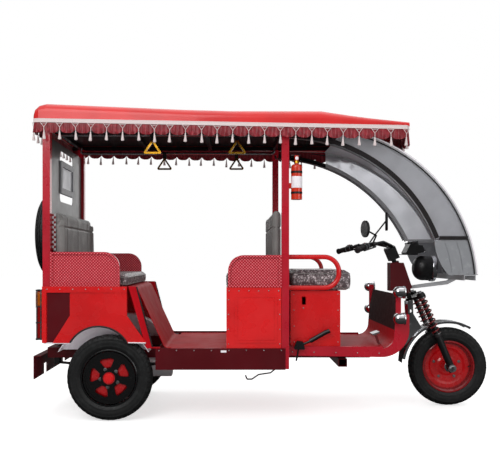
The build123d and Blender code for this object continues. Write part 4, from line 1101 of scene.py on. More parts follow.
# ---------------------------------------------------------------- canopy trim
@dataclass
class CanopyTrim:
    """Lace band, scalloped satin valance and tassels round the roof's lower edge."""

    paints: PaintShop
    pitch: float = 0.0883
    first_x: float = -1.263
    corner: float = 0.030
    band_height: float = 0.017
    band_thick: float = 0.003
    cloth_inset: float = 0.003
    scallop_short: float = 0.050
    scallop_deep: float = 0.073
    front_deeper: float = 0.032
    gather: float = 0.006
    tassel_drop: float = 0.100
    tassel_r: float = 0.0085
    strand_r: float = 0.0014

    def rim_length(self) -> float:
        """Length of the roof's lower edge, taken round its corners."""
        long_side = ROOF_FRONT_X - ROOF_REAR_X
        return 2 * (long_side + 2 * ROOF_HALF) - (8 - tau) * self.corner

    def rim(self, along: float, outset: float) -> tuple[Vector, Vector]:
        """Find a place on the roof's lower edge.

        Args:
            along: distance from the rear right corner's front end, forwards along the right side.
            outset: distance outside the edge.

        Returns:
            The place, at the edge's height, and the outward direction.
        """
        r = self.corner
        sides = (ROOF_FRONT_X - ROOF_REAR_X - 2 * r, 2 * ROOF_HALF - 2 * r)
        starts = (
            Vector((ROOF_REAR_X + r, -ROOF_HALF, 0)), Vector((ROOF_FRONT_X, -ROOF_HALF + r, 0)),
            Vector((ROOF_FRONT_X - r, ROOF_HALF, 0)), Vector((ROOF_REAR_X, ROOF_HALF - r, 0)),
        )
        ways = (Vector((1, 0, 0)), Vector((0, 1, 0)), Vector((-1, 0, 0)), Vector((0, -1, 0)))
        along %= self.rim_length()
        for k in range(4):
            length = sides[k % 2]
            out = Vector((ways[k].y, -ways[k].x, 0))
            if along <= length:
                place = starts[k] + ways[k] * along
                break
            along -= length
            if along <= r * pi / 2:
                angle = along / r
                centre = starts[k] + ways[k] * length - out * r
                out = out * cos(angle) + ways[k] * sin(angle)
                place = centre + out * r
                break
            along -= r * pi / 2
        place = place + out * outset
        place.z = piping_z(place.x)
        return place, out

    def lace_band(self) -> Shape:
        """Flat woven band that covers the edge, with a bead along its top and bottom.

        Returns:
            The band.
        """
        steps = 260
        shape = Shape()
        length = self.rim_length()
        for rise, radius in ((0.0, 0.0028), (-self.band_height, 0.0024)):
            path = []
            for k in range(steps):
                path.append(self.rim(length * k / steps, 0.0015)[0] + Vector((0, 0, rise)))
            shape.add(tube(path, radius, 8, True))
        half, t = self.band_height / 2, self.band_thick
        section = [(-t / 2, -half), (t / 2, -half), (t / 2, half), (-t / 2, half)]
        path = [self.rim(length * k / steps, 0.001)[0] - Vector((0, 0, half)) for k in range(steps)]
        return shape.add(swept(path, section, True))

    def scallop(self, along: float) -> float:
        """Depth of the cloth at a distance along the edge: short at each tassel and deep between.

        Args:
            along: distance along the edge, as rim() takes it.

        Returns:
            The depth.
        """
        phase = ((along - self.first_along()) / self.pitch) % 1.0
        bow = 1 - abs(2 * phase - 1) ** 3.2
        front = max(0.0, self.rim(along, 0.0)[1].x) * self.front_deeper
        return self.scallop_short + (self.scallop_deep - self.scallop_short) * bow + front

    def first_along(self) -> float:
        """Distance along the edge of the right side's rearmost tassel."""
        return self.first_x - (ROOF_REAR_X + self.corner)

    def cloth(self) -> Shape:
        """The valance's satin, gathered at its top and scalloped below.

        Returns:
            The cloth, one sheet thick.
        """
        across, down = 1400, 12
        shape = Shape()
        length = self.rim_length()
        for i in range(across):
            along = length * i / across
            depth = self.scallop(along)
            phase = (along - self.first_along()) / self.pitch
            for j in range(down + 1):
                share = j / down
                ripple = sin(phase * tau * 4) * 0.45 + sin(phase * tau * 7 + 1.3) * 0.3
                bulge = self.gather * share * (0.6 + ripple) * (0.4 + abs(sin(phase * pi)))
                place = self.rim(along, -self.cloth_inset + bulge)[0]
                shape.verts.append(place - Vector((0, 0, 0.004 + depth * share)))
        for i in range(across):
            n = (i + 1) % across
            for j in range(down):
                a, b = i * (down + 1) + j, n * (down + 1) + j
                shape.faces.append((a, a + 1, b + 1, b))
        return shape

    def tassel(self) -> Shape:
        """One drop: two strands that meet under the band, a cord with a knot, and the tassel's skirt.

        Returns:
            The tassel, hanging from the origin.
        """
        shape = Shape()
        knot = Vector((0, 0, -0.030))
        for side in (-1, 1):
            strand = [Vector((side * 0.022, 0, 0.0)), Vector((side * 0.008, 0, -0.018)), knot]
            shape.add(tube(rounded_path(strand, 0.006, 4), self.strand_r, 6))
        shape.add(tube([Vector((-0.014, 0, -0.008)), Vector((0.014, 0, -0.008))], self.strand_r * 0.8, 6))
        shape.add(tube([knot, Vector((0, 0, -0.058))], self.strand_r * 1.2, 6))
        r, end = self.tassel_r, -self.tassel_drop
        skirt = [(0, -0.050), (0.0028, -0.0505), (0.0040, -0.054), (0.0030, -0.058), (0.0042, -0.062)]
        skirt += [(r * 0.62, -0.075), (r * 0.86, end + 0.012), (r, end + 0.003)]
        skirt += [(r * 0.8, end), (0, end + 0.002)]
        head = lathe(list(reversed(skirt)), 14)
        for vert in head.verts:
            if vert.z < -0.060:
                fray = 1 + 0.10 * cos(7 * atan2(vert.y, vert.x))
                vert.x *= fray
                vert.y *= fray
        return shape.add(head)

    def tassels(self) -> Shape:
        """A tassel at every gather, each turned to face outwards and hanging a little differently.

        Returns:
            All of them.
        """
        shape = Shape()
        rng = Random(4)
        count = round(self.rim_length() / self.pitch)
        step = self.rim_length() / count
        one = self.tassel()
        for k in range(count):
            place, out = self.rim(self.first_along() + step * k, 0.0035)
            turn = Matrix.Rotation(atan2(out.x, -out.y), 4, "Z")
            sway = Matrix.Rotation(rng.uniform(-0.05, 0.05), 4, "Y")
            stretch = Matrix.Scale(rng.uniform(0.95, 1.04), 4, (0, 0, 1))
            drop = place - Vector((0, 0, self.band_height))
            shape.add(one.placed(Matrix.Translation(drop) @ turn @ sway @ stretch))
        return shape

    def build(self) -> None:
        """Make the band, the valance and its tassels."""
        wool = (self.paints.yarn, "chassis", "valance_cloth")
        piece("canopy_lace_band", self.lace_band(), *wool)
        cloth = piece("canopy_valance_satin", self.cloth(), self.paints.satin, "chassis", "valance_cloth", 80.0)
        fringe = piece("canopy_tassels", self.tassels(), *wool)
        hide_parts("valance")


# ---------------------------------------------------------------- upholstery
@dataclass
class Pad:
    """One stuffed pad: its box, its swell, and the places of its sewn channels."""

    name: str
    node: str
    low: Vector
    high: Vector
    round_mm: float
    swell: float
    flat_axis: int
    flat_side: int
    channels_y: tuple[float, ...] = ()
    channels_z: tuple[float, ...] = ()
    channel_depth: float = 0.007
    channel_half: float = 0.009
    extra: tuple[tuple[Vector, Vector], ...] = ()

    def blank(self) -> Shape:
        """The pad before stuffing: a rounded block a little smaller than its place, with its side wings.

        Returns:
            The blank.
        """
        shape = Shape()
        for low, high in ((self.low, self.high), *self.extra):
            size = [h - l - self.swell * 0.9 for l, h in zip(low, high)]
            centre = (low + high) / 2
            shape.add(cuboid(size, self.round_mm * MM).at(*centre))
        return shape


@dataclass
class Upholstery:
    """Cushions and backs, stuffed by cloth simulation and then sewn."""

    paints: PaintShop
    voxel: float = 0.008
    pressure: float = 4.0
    frames: int = 16

    def pads(self) -> list[tuple[Pad, Material]]:
        """List the vehicle's pads with their covers.

        Returns:
            Each pad and its material.
        """
        result = []
        for name, round_mm, swell in (
            ("rear_cushion", 16, 0.010), ("front_bench_cushion", 16, 0.010), ("driver_cushion", 22, 0.012)
        ):
            low, high = (Vector(c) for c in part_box(name))
            result.append((Pad(name + "_pad", name, low, high, round_mm, swell, 2, -1), self.paints.seat))
        low, high = (Vector(c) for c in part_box("rear_backrest"))
        back_high = Vector((low.x + 0.024 + 0.020, high.y, high.z - 0.030))
        wings = []
        for side in (-1, 1):
            y0, y1 = sorted((side * 0.392, side * high.y))
            wings.append((Vector((low.x + 0.010, y0, low.z)), Vector((high.x - 0.035, y1, high.z - 0.075))))
        rear = Pad(
            "rear_backrest_pad", "rear_backrest", low, back_high, 9, 0.008, 0, -1,
            channels_y=(-0.28, 0.0, 0.28), channels_z=(0.955, 1.105), extra=tuple(wings),
        )
        result.append((rear, self.paints.back))
        low, high = (Vector(c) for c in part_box("front_backrest"))
        front = Pad(
            "front_backrest_pad", "front_backrest", low, high, 10, 0.007, 0, 0,
            channels_y=(-0.21, 0.0, 0.21), channels_z=(0.93, 1.10), channel_depth=0.005,
        )
        result.append((front, self.paints.back))
        return result

    def remeshed(self, pad: Pad) -> bpy.types.Object:
        """Turn the pad's blank into one even skin.

        Args:
            pad: the pad.

        Returns:
            An object whose mesh is ready for stuffing.
        """
        shape = pad.blank()
        mesh = bpy.data.meshes.new(pad.name + "_blank")
        mesh.from_pydata([tuple(v) for v in shape.verts], [], shape.faces)
        obj = bpy.data.objects.new(pad.name + "_blank", mesh)
        bpy.context.scene.collection.objects.link(obj)
        remesh = obj.modifiers.new("even", "REMESH")
        remesh.mode = "VOXEL"
        remesh.voxel_size = self.voxel
        self.apply(obj)
        return obj

    def apply(self, obj: bpy.types.Object) -> None:
        """Make an object's modified mesh its own and drop its modifiers.

        Args:
            obj: the object.
        """
        graph = bpy.context.evaluated_depsgraph_get()
        baked = bpy.data.meshes.new_from_object(obj.evaluated_get(graph))
        obj.modifiers.clear()
        obj.data = baked

    def stuff(self, obj: bpy.types.Object, cap: float) -> None:
        """Blow the skin up by simulated pressure, with no point moving further than a cap.

        Args:
            obj: the skin.
            cap: the largest movement.
        """
        rest = [v.co.copy() for v in obj.data.vertices]
        cloth = obj.modifiers.new("stuffing", "CLOTH")
        cloth.settings.quality = 3
        cloth.settings.use_pressure = True
        cloth.settings.uniform_pressure_force = self.pressure
        cloth.settings.tension_stiffness = 14
        cloth.settings.compression_stiffness = 14
        cloth.settings.bending_stiffness = 0.6
        cloth.settings.effector_weights.gravity = 0.0
        cloth.collision_settings.use_collision = False
        scene = bpy.context.scene
        for step in range(1, self.frames + 1):
            scene.frame_set(step)
        self.apply(obj)
        for vert, start in zip(obj.data.vertices, rest):
            move = vert.co - start
            if move.length > cap:
                vert.co = start + move.normalized() * cap
        scene.frame_set(1)

    def subdivide(self, obj: bpy.types.Object) -> None:
        """Smooth the skin with one subdivision.

        Args:
            obj: the skin.
        """
        smooth = obj.modifiers.new("smooth", "SUBSURF")
        smooth.levels = smooth.render_levels = 1
        self.apply(obj)

    def sew(self, obj: bpy.types.Object, pad: Pad) -> None:
        """Press the pad flat where it rests, and draw its channels in.

        Args:
            obj: the stuffed skin.
            pad: the pad's sizes.
        """
        facing_x = [vert.normal.x for vert in obj.data.vertices]
        for vert, turned in zip(obj.data.vertices, facing_x):
            co = vert.co
            dip = 0.0
            for value, lines in ((co.y, pad.channels_y), (co.z, pad.channels_z)):
                for line in lines:
                    gap = abs(value - line)
                    if gap < pad.channel_half:
                        dip = max(dip, pad.channel_depth * (0.5 + 0.5 * cos(pi * gap / pad.channel_half)))
            co.x -= dip * (1 if turned > 0.3 else -1 if turned < -0.3 and pad.flat_side == 0 else 0)
            if pad.flat_axis == 2:
                co.z = min(max(co.z, pad.low.z), pad.high.z + 0.006)
            else:
                if pad.flat_side < 0:
                    co.x = max(co.x, pad.low.x)
                co.z = max(co.z, pad.low.z)
            co.y = min(max(co.y, pad.low.y), pad.high.y)

    def piping(self, pad: Pad, skin: bpy.types.Object) -> Shape:
        """Sewn welt round the top and the bottom edge of a seat cushion.

        Args:
            pad: the cushion's sizes.
            skin: its stuffed mesh, which the welt lies on.

        Returns:
            Both welts.
        """
        shape = Shape()
        for z in (pad.low.z + 0.012, pad.high.z - 0.016):
            ring = [v.co for v in skin.data.vertices if abs(v.co.z - z) < 0.004]
            x0, x1 = min(v.x for v in ring), max(v.x for v in ring)
            y0, y1 = min(v.y for v in ring), max(v.y for v in ring)
            corners = [Vector((x0, y0, z)), Vector((x1, y0, z)), Vector((x1, y1, z)), Vector((x0, y1, z))]
            start = (corners[-1] + corners[0]) / 2
            path = rounded_path([start, *corners, start], 0.018, 5)
            shape.add(tube(path[:-1], 0.0024, 8, True))
        return shape

    def build(self) -> None:
        """Make every pad."""
        for pad, cover in self.pads():
            skin = self.remeshed(pad)
            self.stuff(skin, pad.swell * 1.6)
            self.subdivide(skin)
            self.sew(skin, pad)
            skin.name = pad.name
            skin.data.materials.clear()
            skin.data.materials.append(cover)
            skin.data.shade_smooth()
            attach(skin, "chassis")
            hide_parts(pad.node)
            if pad.flat_axis == 2:
                piece(pad.name + "_welt", self.piping(pad, skin), self.paints.back, "chassis", "back_cover")
            log.info("%s: stuffed, %d points", pad.name, len(skin.data.vertices))


# ---------------------------------------------------------------- wheels
@dataclass(frozen=True)
class TreadedTyre:
    """Cross-ply tyre: zigzag ribs, notched shoulders and ringed walls, in place of the plain solid."""

    name: str
    body: str
    centre: Sequence[float]
    turn: float = 0.0
    pitches: int = 48
    depth: float = 0.006
    sway: float = 0.0026
    # across, radius, groove depth share, zigzag share, notch share
    columns: tuple[tuple[float, float, float, float, float], ...] = (
        (0.0000, 0.2450, 0, 1, 0), (0.0075, 0.2446, 0, 1, 0), (0.0083, 0.2446, 1, 1, 0),
        (0.0108, 0.2442, 1, 1, 0), (0.0116, 0.2441, 0, 1, 0), (0.0225, 0.2416, 0, 1, 0),
        (0.0233, 0.2414, 1, 1, 0), (0.0258, 0.2405, 1, 1, 0), (0.0266, 0.2402, 0, 1, 0),
        (0.0305, 0.2388, 0, 0, 0), (0.0312, 0.2385, 0, 0, 1), (0.0365, 0.2360, 0, 0, 1),
        (0.0400, 0.2290, 0, 0, 1), (0.0426, 0.2232, 0, 0, 0.5), (0.0434, 0.2214, 0, 0, 0),
        (0.0452, 0.2204, 0, 0, 0), (0.0456, 0.2184, 0, 0, 0), (0.0450, 0.2170, 0, 0, 0),
        (0.0472, 0.2080, 0, 0, 0), (0.0475, 0.2040, 0, 0, 0), (0.0466, 0.1920, 0, 0, 0),
        (0.0452, 0.1850, 0, 0, 0), (0.0458, 0.1830, 0, 0, 0), (0.0444, 0.1790, 0, 0, 0),
        (0.0424, 0.1738, 0, 0, 0), (0.0400, 0.1690, 0, 0, 0), (0.0374, 0.1648, 0, 0, 0),
        (0.0355, 0.1630, 0, 0, 0),
    )
    # share of a pitch, how far it is notched, how far it sways
    steps: tuple[tuple[float, float, float], ...] = (
        (0.0, 0.0, 0.0), (0.03, 1.0, 0.12), (0.22, 1.0, 0.88),
        (0.25, 0.0, 1.0), (0.5, 0.0, 0.0), (0.75, 0.0, -1.0),
    )

    def shape(self) -> Shape:
        """The tyre about the Y axis.

        Returns:
            The tyre.
        """
        line = [(-y, r, g, z, n) for y, r, g, z, n in reversed(self.columns[1:])] + list(self.columns)
        shape = Shape()
        for pitch in range(self.pitches):
            for share, notched, swing in self.steps:
                angle = tau * (pitch + share) / self.pitches
                for y, radius, groove, zigzag, notch in line:
                    r = radius - self.depth * max(groove, notch * notched)
                    shape.verts.append(Vector((r * cos(angle), y + self.sway * swing * zigzag, r * sin(angle))))
        rows, width = self.pitches * len(self.steps), len(line)
        for i in range(rows):
            n = (i + 1) % rows
            for j in range(width - 1):
                shape.faces.append((i * width + j, i * width + j + 1, n * width + j + 1, n * width + j))
        return shape

    def build(self, rubber: bpy.types.Material) -> None:
        """Make the tyre and hide the solid that it stands for.

        Args:
            rubber: the tyre's finish.
        """
        place = Matrix.Translation(self.centre) @ Matrix.Rotation(self.turn, 4, "Z")
        obj = piece(self.name + "_treaded", self.shape().placed(place), rubber, self.body, "tyre", 40.0)
        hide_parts(self.name)


@dataclass
class WheelFittings:
    """Treaded tyres, hub caps, wheel nuts, valves and brake drums."""

    paints: PaintShop
    hub_end: float = 0.046
    cover_face: float = 0.030
    dish_face: float = 0.0185
    dish_back: float = -0.0138
    cover_bolts_r: float = 0.0525
    disc_bolts_r: float = 0.083

    def turned(self, x: float, y: float, side: int) -> Matrix:
        """Matrix whose Z points outwards along the axle from the wheel's middle."""
        return Matrix.Translation((x, y, AXLE_Z)) @ Matrix.Rotation(radians(-90 * side), 4, "X")

    def ring(self, one: Shape, count: int, radius: float, height: float, start: float) -> Shape:
        """Copies of a shape evenly round Z.

        Args:
            one: the shape, about its own origin.
            count: number of copies.
            radius: distance from the axis.
            height: height along the axis.
            start: angle of the first in degrees.

        Returns:
            The copies.
        """
        shape = Shape()
        for k in range(count):
            turn = Matrix.Rotation(radians(start) + tau * k / count, 4, "Z")
            shape.add(one.at(radius, 0, height).placed(turn))
        return shape

    def hub_cap(self) -> Shape:
        """Pressed cap with a stepped crown.

        Returns:
            The cap, along the wheel's axle.
        """
        rim, step, h = 0.0285, 0.021, self.hub_end
        crown = [(step, h + 0.0085), (step - 0.001, h + 0.0115), (0.011, h + 0.0128), (0, h + 0.013)]
        return lathe([(rim, h), (rim, h + 0.005), (rim - 0.002, h + 0.0075), *crown], 36)

    def valve(self) -> Shape:
        """Rubber valve stem with its cap, leaning out of the rim."""
        stem = [Vector((0.146, 0, 0.006)), Vector((0.136, 0, 0.014)), Vector((0.124, 0, 0.036))]
        return tube(stem, 0.0032, 10).add(tube([stem[-1], Vector((0.120, 0, 0.043))], 0.0041, 10))

    def drum(self) -> Shape:
        """Ribbed brake drum on the inner side.

        Returns:
            The drum, along the wheel's axle.
        """
        profile = [(0.030, -0.044), (0.088, -0.044)]
        for z in (-0.040, -0.030, -0.020, -0.010):
            profile += [(0.088, z), (0.095, z + 0.001), (0.095, z + 0.004), (0.088, z + 0.005)]
        return lathe(profile + [(0.086, -0.002), (0.030, -0.002)], 48)

    def build(self) -> None:
        """Fit every wheel."""
        p = self.paints
        for node, body, centre, turn in (
            ("front_tyre", "front_wheel", (FRONT_AXLE_X, 0.0, AXLE_Z), 0.0),
            ("rear_right_tyre", "rear_wheel_right", (REAR_AXLE_X, -REAR_WHEEL_Y, AXLE_Z), 0.0),
            ("rear_left_tyre", "rear_wheel_left", (REAR_AXLE_X, REAR_WHEEL_Y, AXLE_Z), 0.0),
            ("spare_tyre", "chassis", SPARE_PLACE, pi / 2),
        ):
            TreadedTyre(node, body, centre, turn).build(p.rubber)
        for side in Side:
            name = "rear_" + side.name.lower()
            body = "rear_wheel_" + side.name.lower()
            place = self.turned(REAR_AXLE_X, side.value * REAR_WHEEL_Y, side.value)
            nuts = self.ring(hex_bolt(0.0072, 0.009), 5, self.cover_bolts_r, self.cover_face, 44)
            piece(name + "_hub_cap", self.hub_cap().placed(place), p.red, body, "red_paint")
            piece(name + "_nuts", nuts.placed(place), p.zinc, body, "chrome", NUT_SMOOTH)
            piece(name + "_valve", self.valve().placed(place), p.black_plastic, body, "black_plastic")
            piece(name + "_drum", self.drum().placed(place), p.black, body, "black_paint")
        place = self.turned(FRONT_AXLE_X, 0.0, -1)
        nuts = Shape()
        for side, face in ((Side.RIGHT, self.dish_back), (Side.LEFT, self.dish_face)):
            ring = self.ring(hex_bolt(0.0062, 0.008), 5, self.disc_bolts_r, face, 18)
            nuts.add(ring.placed(self.turned(FRONT_AXLE_X, 0.0, side.value)))
        piece("front_disc_nuts", nuts, p.zinc, "front_wheel", "chrome", NUT_SMOOTH)
        cap = lathe([(0.031, 0.046), (0.031, 0.049), (0.026, 0.0515), (0.0135, 0.0515)], 32)
        piece("front_hub_seal", cap.placed(place), p.chrome, "front_wheel", "chrome")
        piece("front_valve", self.valve().placed(place), p.black_plastic, "front_wheel", "black_plastic")
        spare = Matrix.Translation(SPARE_PLACE) @ Matrix.Rotation(radians(-90), 4, "Y")
        nuts = self.ring(hex_bolt(0.009, 0.011), 4, 0.040, 0.0, 45)
        plate = lathe([(0.058, -0.020), (0.058, 0.0), (0.0, 0.0)], 36)
        piece("spare_clamp_plate", plate.placed(spare), p.black, "chassis", "black_paint")
        piece("spare_nuts", nuts.placed(spare), p.zinc, "chassis", "chrome", NUT_SMOOTH)


# ---------------------------------------------------------------- windscreen
SCREEN_CENTRE = (0.281, 0.717)
SCREEN_R = 0.956
SCREEN_FOOT_Z = 0.826
SCREEN_BAND_Z = 1.042
SCREEN_TOP_Z = 1.655
WING_CENTRE = (0.094, 0.664)
WING_R = 0.954
WING_BAND = 0.024
SCREEN_BAR = 0.018
SCREEN_SIDE_OUT = Vector((0, -1, -0.128)).normalized()     # outwards from the leaning right side


def screen_half(z: float) -> float:
    """Half width of the windscreen at a height."""
    return 0.330 + (z - SCREEN_FOOT_Z) / (SCREEN_TOP_Z - SCREEN_FOOT_Z) * 0.106


@dataclass
class ScreenTrim:
    """Rubber channels, tubes and rivets round the curved windscreen."""

    paints: PaintShop
    steps: int = 48
    panel_rivets: tuple[tuple[float, float], ...] = (
        (1.122, 0.842), (1.172, 0.842), (1.206, 0.900), (1.190, 0.985), (1.048, 0.922), (1.080, 0.870)
    )

    def side_arc(
        self, centre: tuple[float, float], radius: float, outset: float, low: float, high: float
    ) -> list[Vector]:
        """Points of an arc laid on the leaning right side of the screen, between two heights.

        Args:
            centre: (x, z) centre of the arc.
            radius: its radius.
            outset: distance outside the side plane.
            low: lowest height.
            high: highest height.

        Returns:
            Points from the foot upwards.
        """
        points = []
        for k in range(self.steps + 1):
            z = low + (high - low) * k / self.steps
            x = centre[0] + sqrt(max(0.0, radius ** 2 - (z - centre[1]) ** 2))
            points.append(Vector((x, -(screen_half(z) + outset), z)))
        return points

    def strip(self, path: Path, width: float, thick: float) -> Shape:
        """Flat strip on the side plane, centred on a path.

        Args:
            path: its middle line.
            width: its width.
            thick: its thickness.

        Returns:
            The strip.
        """
        t, w = thick / 2, width / 2
        section = [(-t, w), (t, w), (t, -w), (-t, -w)]
        rings = []
        for i, point in enumerate(path):
            along = (path[min(i + 1, len(path) - 1)] - path[max(i - 1, 0)]).normalized()
            across = along.cross(SCREEN_SIDE_OUT).normalized()
            rings.append([point + SCREEN_SIDE_OUT * rise + across * aside for rise, aside in section])
        return lofted(rings)

    def spot(self, centre: tuple[float, float], radius: float, outset: float, z: float) -> Vector:
        """One place on an arc of the right side, at a height."""
        return self.side_arc(centre, radius, outset, z, z)[0]

    def build(self) -> None:
        """Fit the trim to both sides."""
        p = self.paints
        low, high = SCREEN_FOOT_Z + 0.004, SCREEN_TOP_Z - 0.004
        inner = self.side_arc(SCREEN_CENTRE, SCREEN_R - SCREEN_BAR - 0.002, 0.0006, low, high)
        gasket = self.strip(inner, 0.007, 0.004).both_sides()
        rear = self.side_arc(WING_CENTRE, WING_R + WING_BAND / 2, 0.0012, SCREEN_BAND_Z, high)
        gasket.add(self.strip(rear, WING_BAND + 0.001, 0.0035).both_sides())
        cross = self.spot(SCREEN_CENTRE, SCREEN_R, 0.0, SCREEN_BAND_Z)
        back = self.spot(WING_CENTRE, WING_R + WING_BAND, 0.0, SCREEN_BAND_Z)
        bar = [Vector((x, cross.y - 0.0012, SCREEN_BAND_Z)) for x in (back.x, cross.x - SCREEN_BAR)]
        gasket.add(self.strip(bar, 0.022, 0.0035).both_sides())
        piece("screen_gaskets", gasket, p.trim_rubber, "chassis", "black_plastic")
        rail = self.side_arc(WING_CENTRE, WING_R - 0.007, -0.004, SCREEN_BAND_Z + 0.004, high - 0.012)
        piece("screen_rear_tubes", tube(rail, 0.0055, 12).both_sides(), p.zinc, "chassis", "chrome")
        outer = self.side_arc(SCREEN_CENTRE, SCREEN_R - 0.0045, 0.0008, low, high)
        beads = self.strip(outer, 0.006, 0.003).both_sides()
        piece("screen_edge_beads", beads, p.white_plastic, "chassis", "silver_paint")
        rivets = Shape()
        for k in range(1, 12):
            z = low + (high - low) * k / 12
            spot = self.spot(SCREEN_CENTRE, SCREEN_R - 0.0115, 0.0004, z)
            rivets.add(dome_rivet(0.0026).placed(facing(spot, SCREEN_SIDE_OUT)))
        for x, z in self.panel_rivets:
            spot = (x, -(screen_half(z) - 0.0042), z)
            rivets.add(dome_rivet(0.003).placed(facing(spot, SCREEN_SIDE_OUT)))
        piece("screen_rivets", rivets.both_sides(), p.zinc, "chassis", "chrome")


# ---------------------------------------------------------------- cockpit
@dataclass
class Cockpit:
    """Lamp lenses and bezels, dials, mirror glasses, grip ribs and switches."""

    paints: PaintShop
    headlamp_at: tuple[float, float, float] = (0.935, 0.0, 0.866)
    bullet_x: float = 0.710
    bullet_y: float = -0.431
    bullet_low: float = 0.578
    bullet_high: float = 0.730
    dial_x: float = 0.938
    dial_y: float = 0.032
    dial_z: float = 1.000
    dial_ticks: int = 11
    grip_inner: tuple[float, float, float] = (0.604, -0.240, 1.000)
    grip_outer: tuple[float, float, float] = (0.520, -0.360, 0.972)
    clamp_top: float = 0.204

    def headlamp(self) -> None:
        """Chrome bezel, reflector and prism lens on the headlamp's bowl."""
        p = self.paints
        place = facing(self.headlamp_at, (1, 0, -0.05))
        bezel = [(0.0800, 0.107), (0.0814, 0.109), (0.0817, 0.128), (0.0795, 0.1356), (0.0755, 0.1372),
                 (0.0718, 0.1350), (0.0708, 0.1290)]
        piece("headlamp_bezel", lathe(bezel, 64).placed(place), p.chrome, "steering", "chrome")
        dome = [(0.0706, 0.1240), (0.055, 0.1273), (0.035, 0.1303), (0.015, 0.1319), (0, 0.1323)]
        piece("headlamp_reflector", lathe(dome, 48).placed(place), p.mirror, "steering", "chrome")
        lens = [(r, h + 0.0022) for r, h in dome]
        piece("headlamp_lens", lathe(lens, 48).placed(place), p.clear_lens, "steering", "lamp_lens")

    def bullet_lenses(self) -> None:
        """Lens and reflector of each bullet lamp."""
        p = self.paints
        dome = [(0.0308, 0.0646), (0.022, 0.0681), (0.011, 0.0708), (0, 0.0716)]
        rim = [(0.0362, 0.0580), (0.0366, 0.0640), (0.0345, 0.0685), (0.0318, 0.0672)]
        pairs = ((self.bullet_low, p.clear_lens, "lower"), (self.bullet_high, p.amber_lens, "upper"))
        for z, lens, name in pairs:
            place = facing((self.bullet_x, self.bullet_y, z), (1, 0, 0))
            mirror = lathe(dome, 32).placed(place).both_sides()
            mirror.add(lathe(rim, 40).placed(place).both_sides())
            glass = lathe([(r, h + 0.0016) for r, h in dome], 32).placed(place).both_sides()
            piece(f"bullet_{name}_rims", mirror, p.chrome, "chassis", "chrome")
            piece(f"bullet_{name}_lenses", glass, lens, "chassis", "lamp_lens")

    def dials(self) -> None:
        """Dial faces with their scales and needles under chrome rings, and the chrome line below."""
        p = self.paints
        faces, marks, rings = Shape(), Shape(), Shape()
        for side in Side:
            place = facing((self.dial_x, side.value * self.dial_y, self.dial_z), (-0.22, 0, 1))
            faces.add(lathe([(0.0188, 0.0318), (0.0188, 0.0326), (0, 0.0326)], 36).placed(place))
            bezel = lathe([(0.0214, 0.0316), (0.0212, 0.0338), (0.0196, 0.0344), (0.0186, 0.0328)], 40)
            rings.add(bezel.placed(place))
            for k in range(self.dial_ticks):
                tick = cuboid((0.0034 if k % 5 == 0 else 0.0022, 0.0007, 0.0004)).at(0.0160, 0, 0.0329)
                marks.add(tick.placed(place @ Matrix.Rotation(radians(-210 + 24 * k), 4, "Z")))
            needle = cuboid((0.0150, 0.0010, 0.0005)).at(0.0055, 0, 0.0331)
            marks.add(needle.placed(place @ Matrix.Rotation(radians(-190), 4, "Z")))
        line = [Vector((x, -0.0628, z)) for x, z in ((0.950, 0.9515), (0.998, 0.9635), (0.983, 1.000))]
        rings.add(tube(rounded_path(line, 0.010), 0.0016, 8).both_sides())
        piece("dial_faces", faces, p.black_plastic, "steering", "black_plastic")
        piece("dial_marks", marks, p.white_plastic, "steering", "liner_white")
        piece("dial_rings", rings, p.chrome, "steering", "chrome")

    def mirror_glasses(self) -> None:
        """Silvered ellipse with a rim on the rear face of each mirror."""
        p = self.paints
        glass, rims = Shape(), Shape()
        for side, centre, height, width, turn in (
            (-1, (0.572, -0.300, 1.097), 0.050, 0.038, 24.0), (1, (0.824, 0.280, 1.172), 0.062, 0.036, 12.0),
        ):
            basis = Matrix(((0, 0, 1, 0), (1, 0, 0, 0), (0, 1, 0, 0), (0, 0, 0, 1)))
            place = Matrix.Translation(centre) @ basis @ Matrix.Rotation(radians(-side * turn), 4, "Y")
            back = place @ Matrix.Rotation(pi, 4, "X")
            ring = [(cos(tau * k / 40), sin(tau * k / 40)) for k in range(40)]
            glass.add(slab([(width * 0.90 * c, height * 0.92 * s) for c, s in ring], 0.0010).placed(back))
            path = [Vector((width * 0.94 * c, height * 0.955 * s, 0.0006)) for c, s in ring]
            rims.add(tube(path, 0.0018, 8, True).placed(back))
        piece("mirror_glasses", glass, p.mirror, "steering", "chrome")
        piece("mirror_rims", rims, p.black_plastic, "steering", "black_plastic")

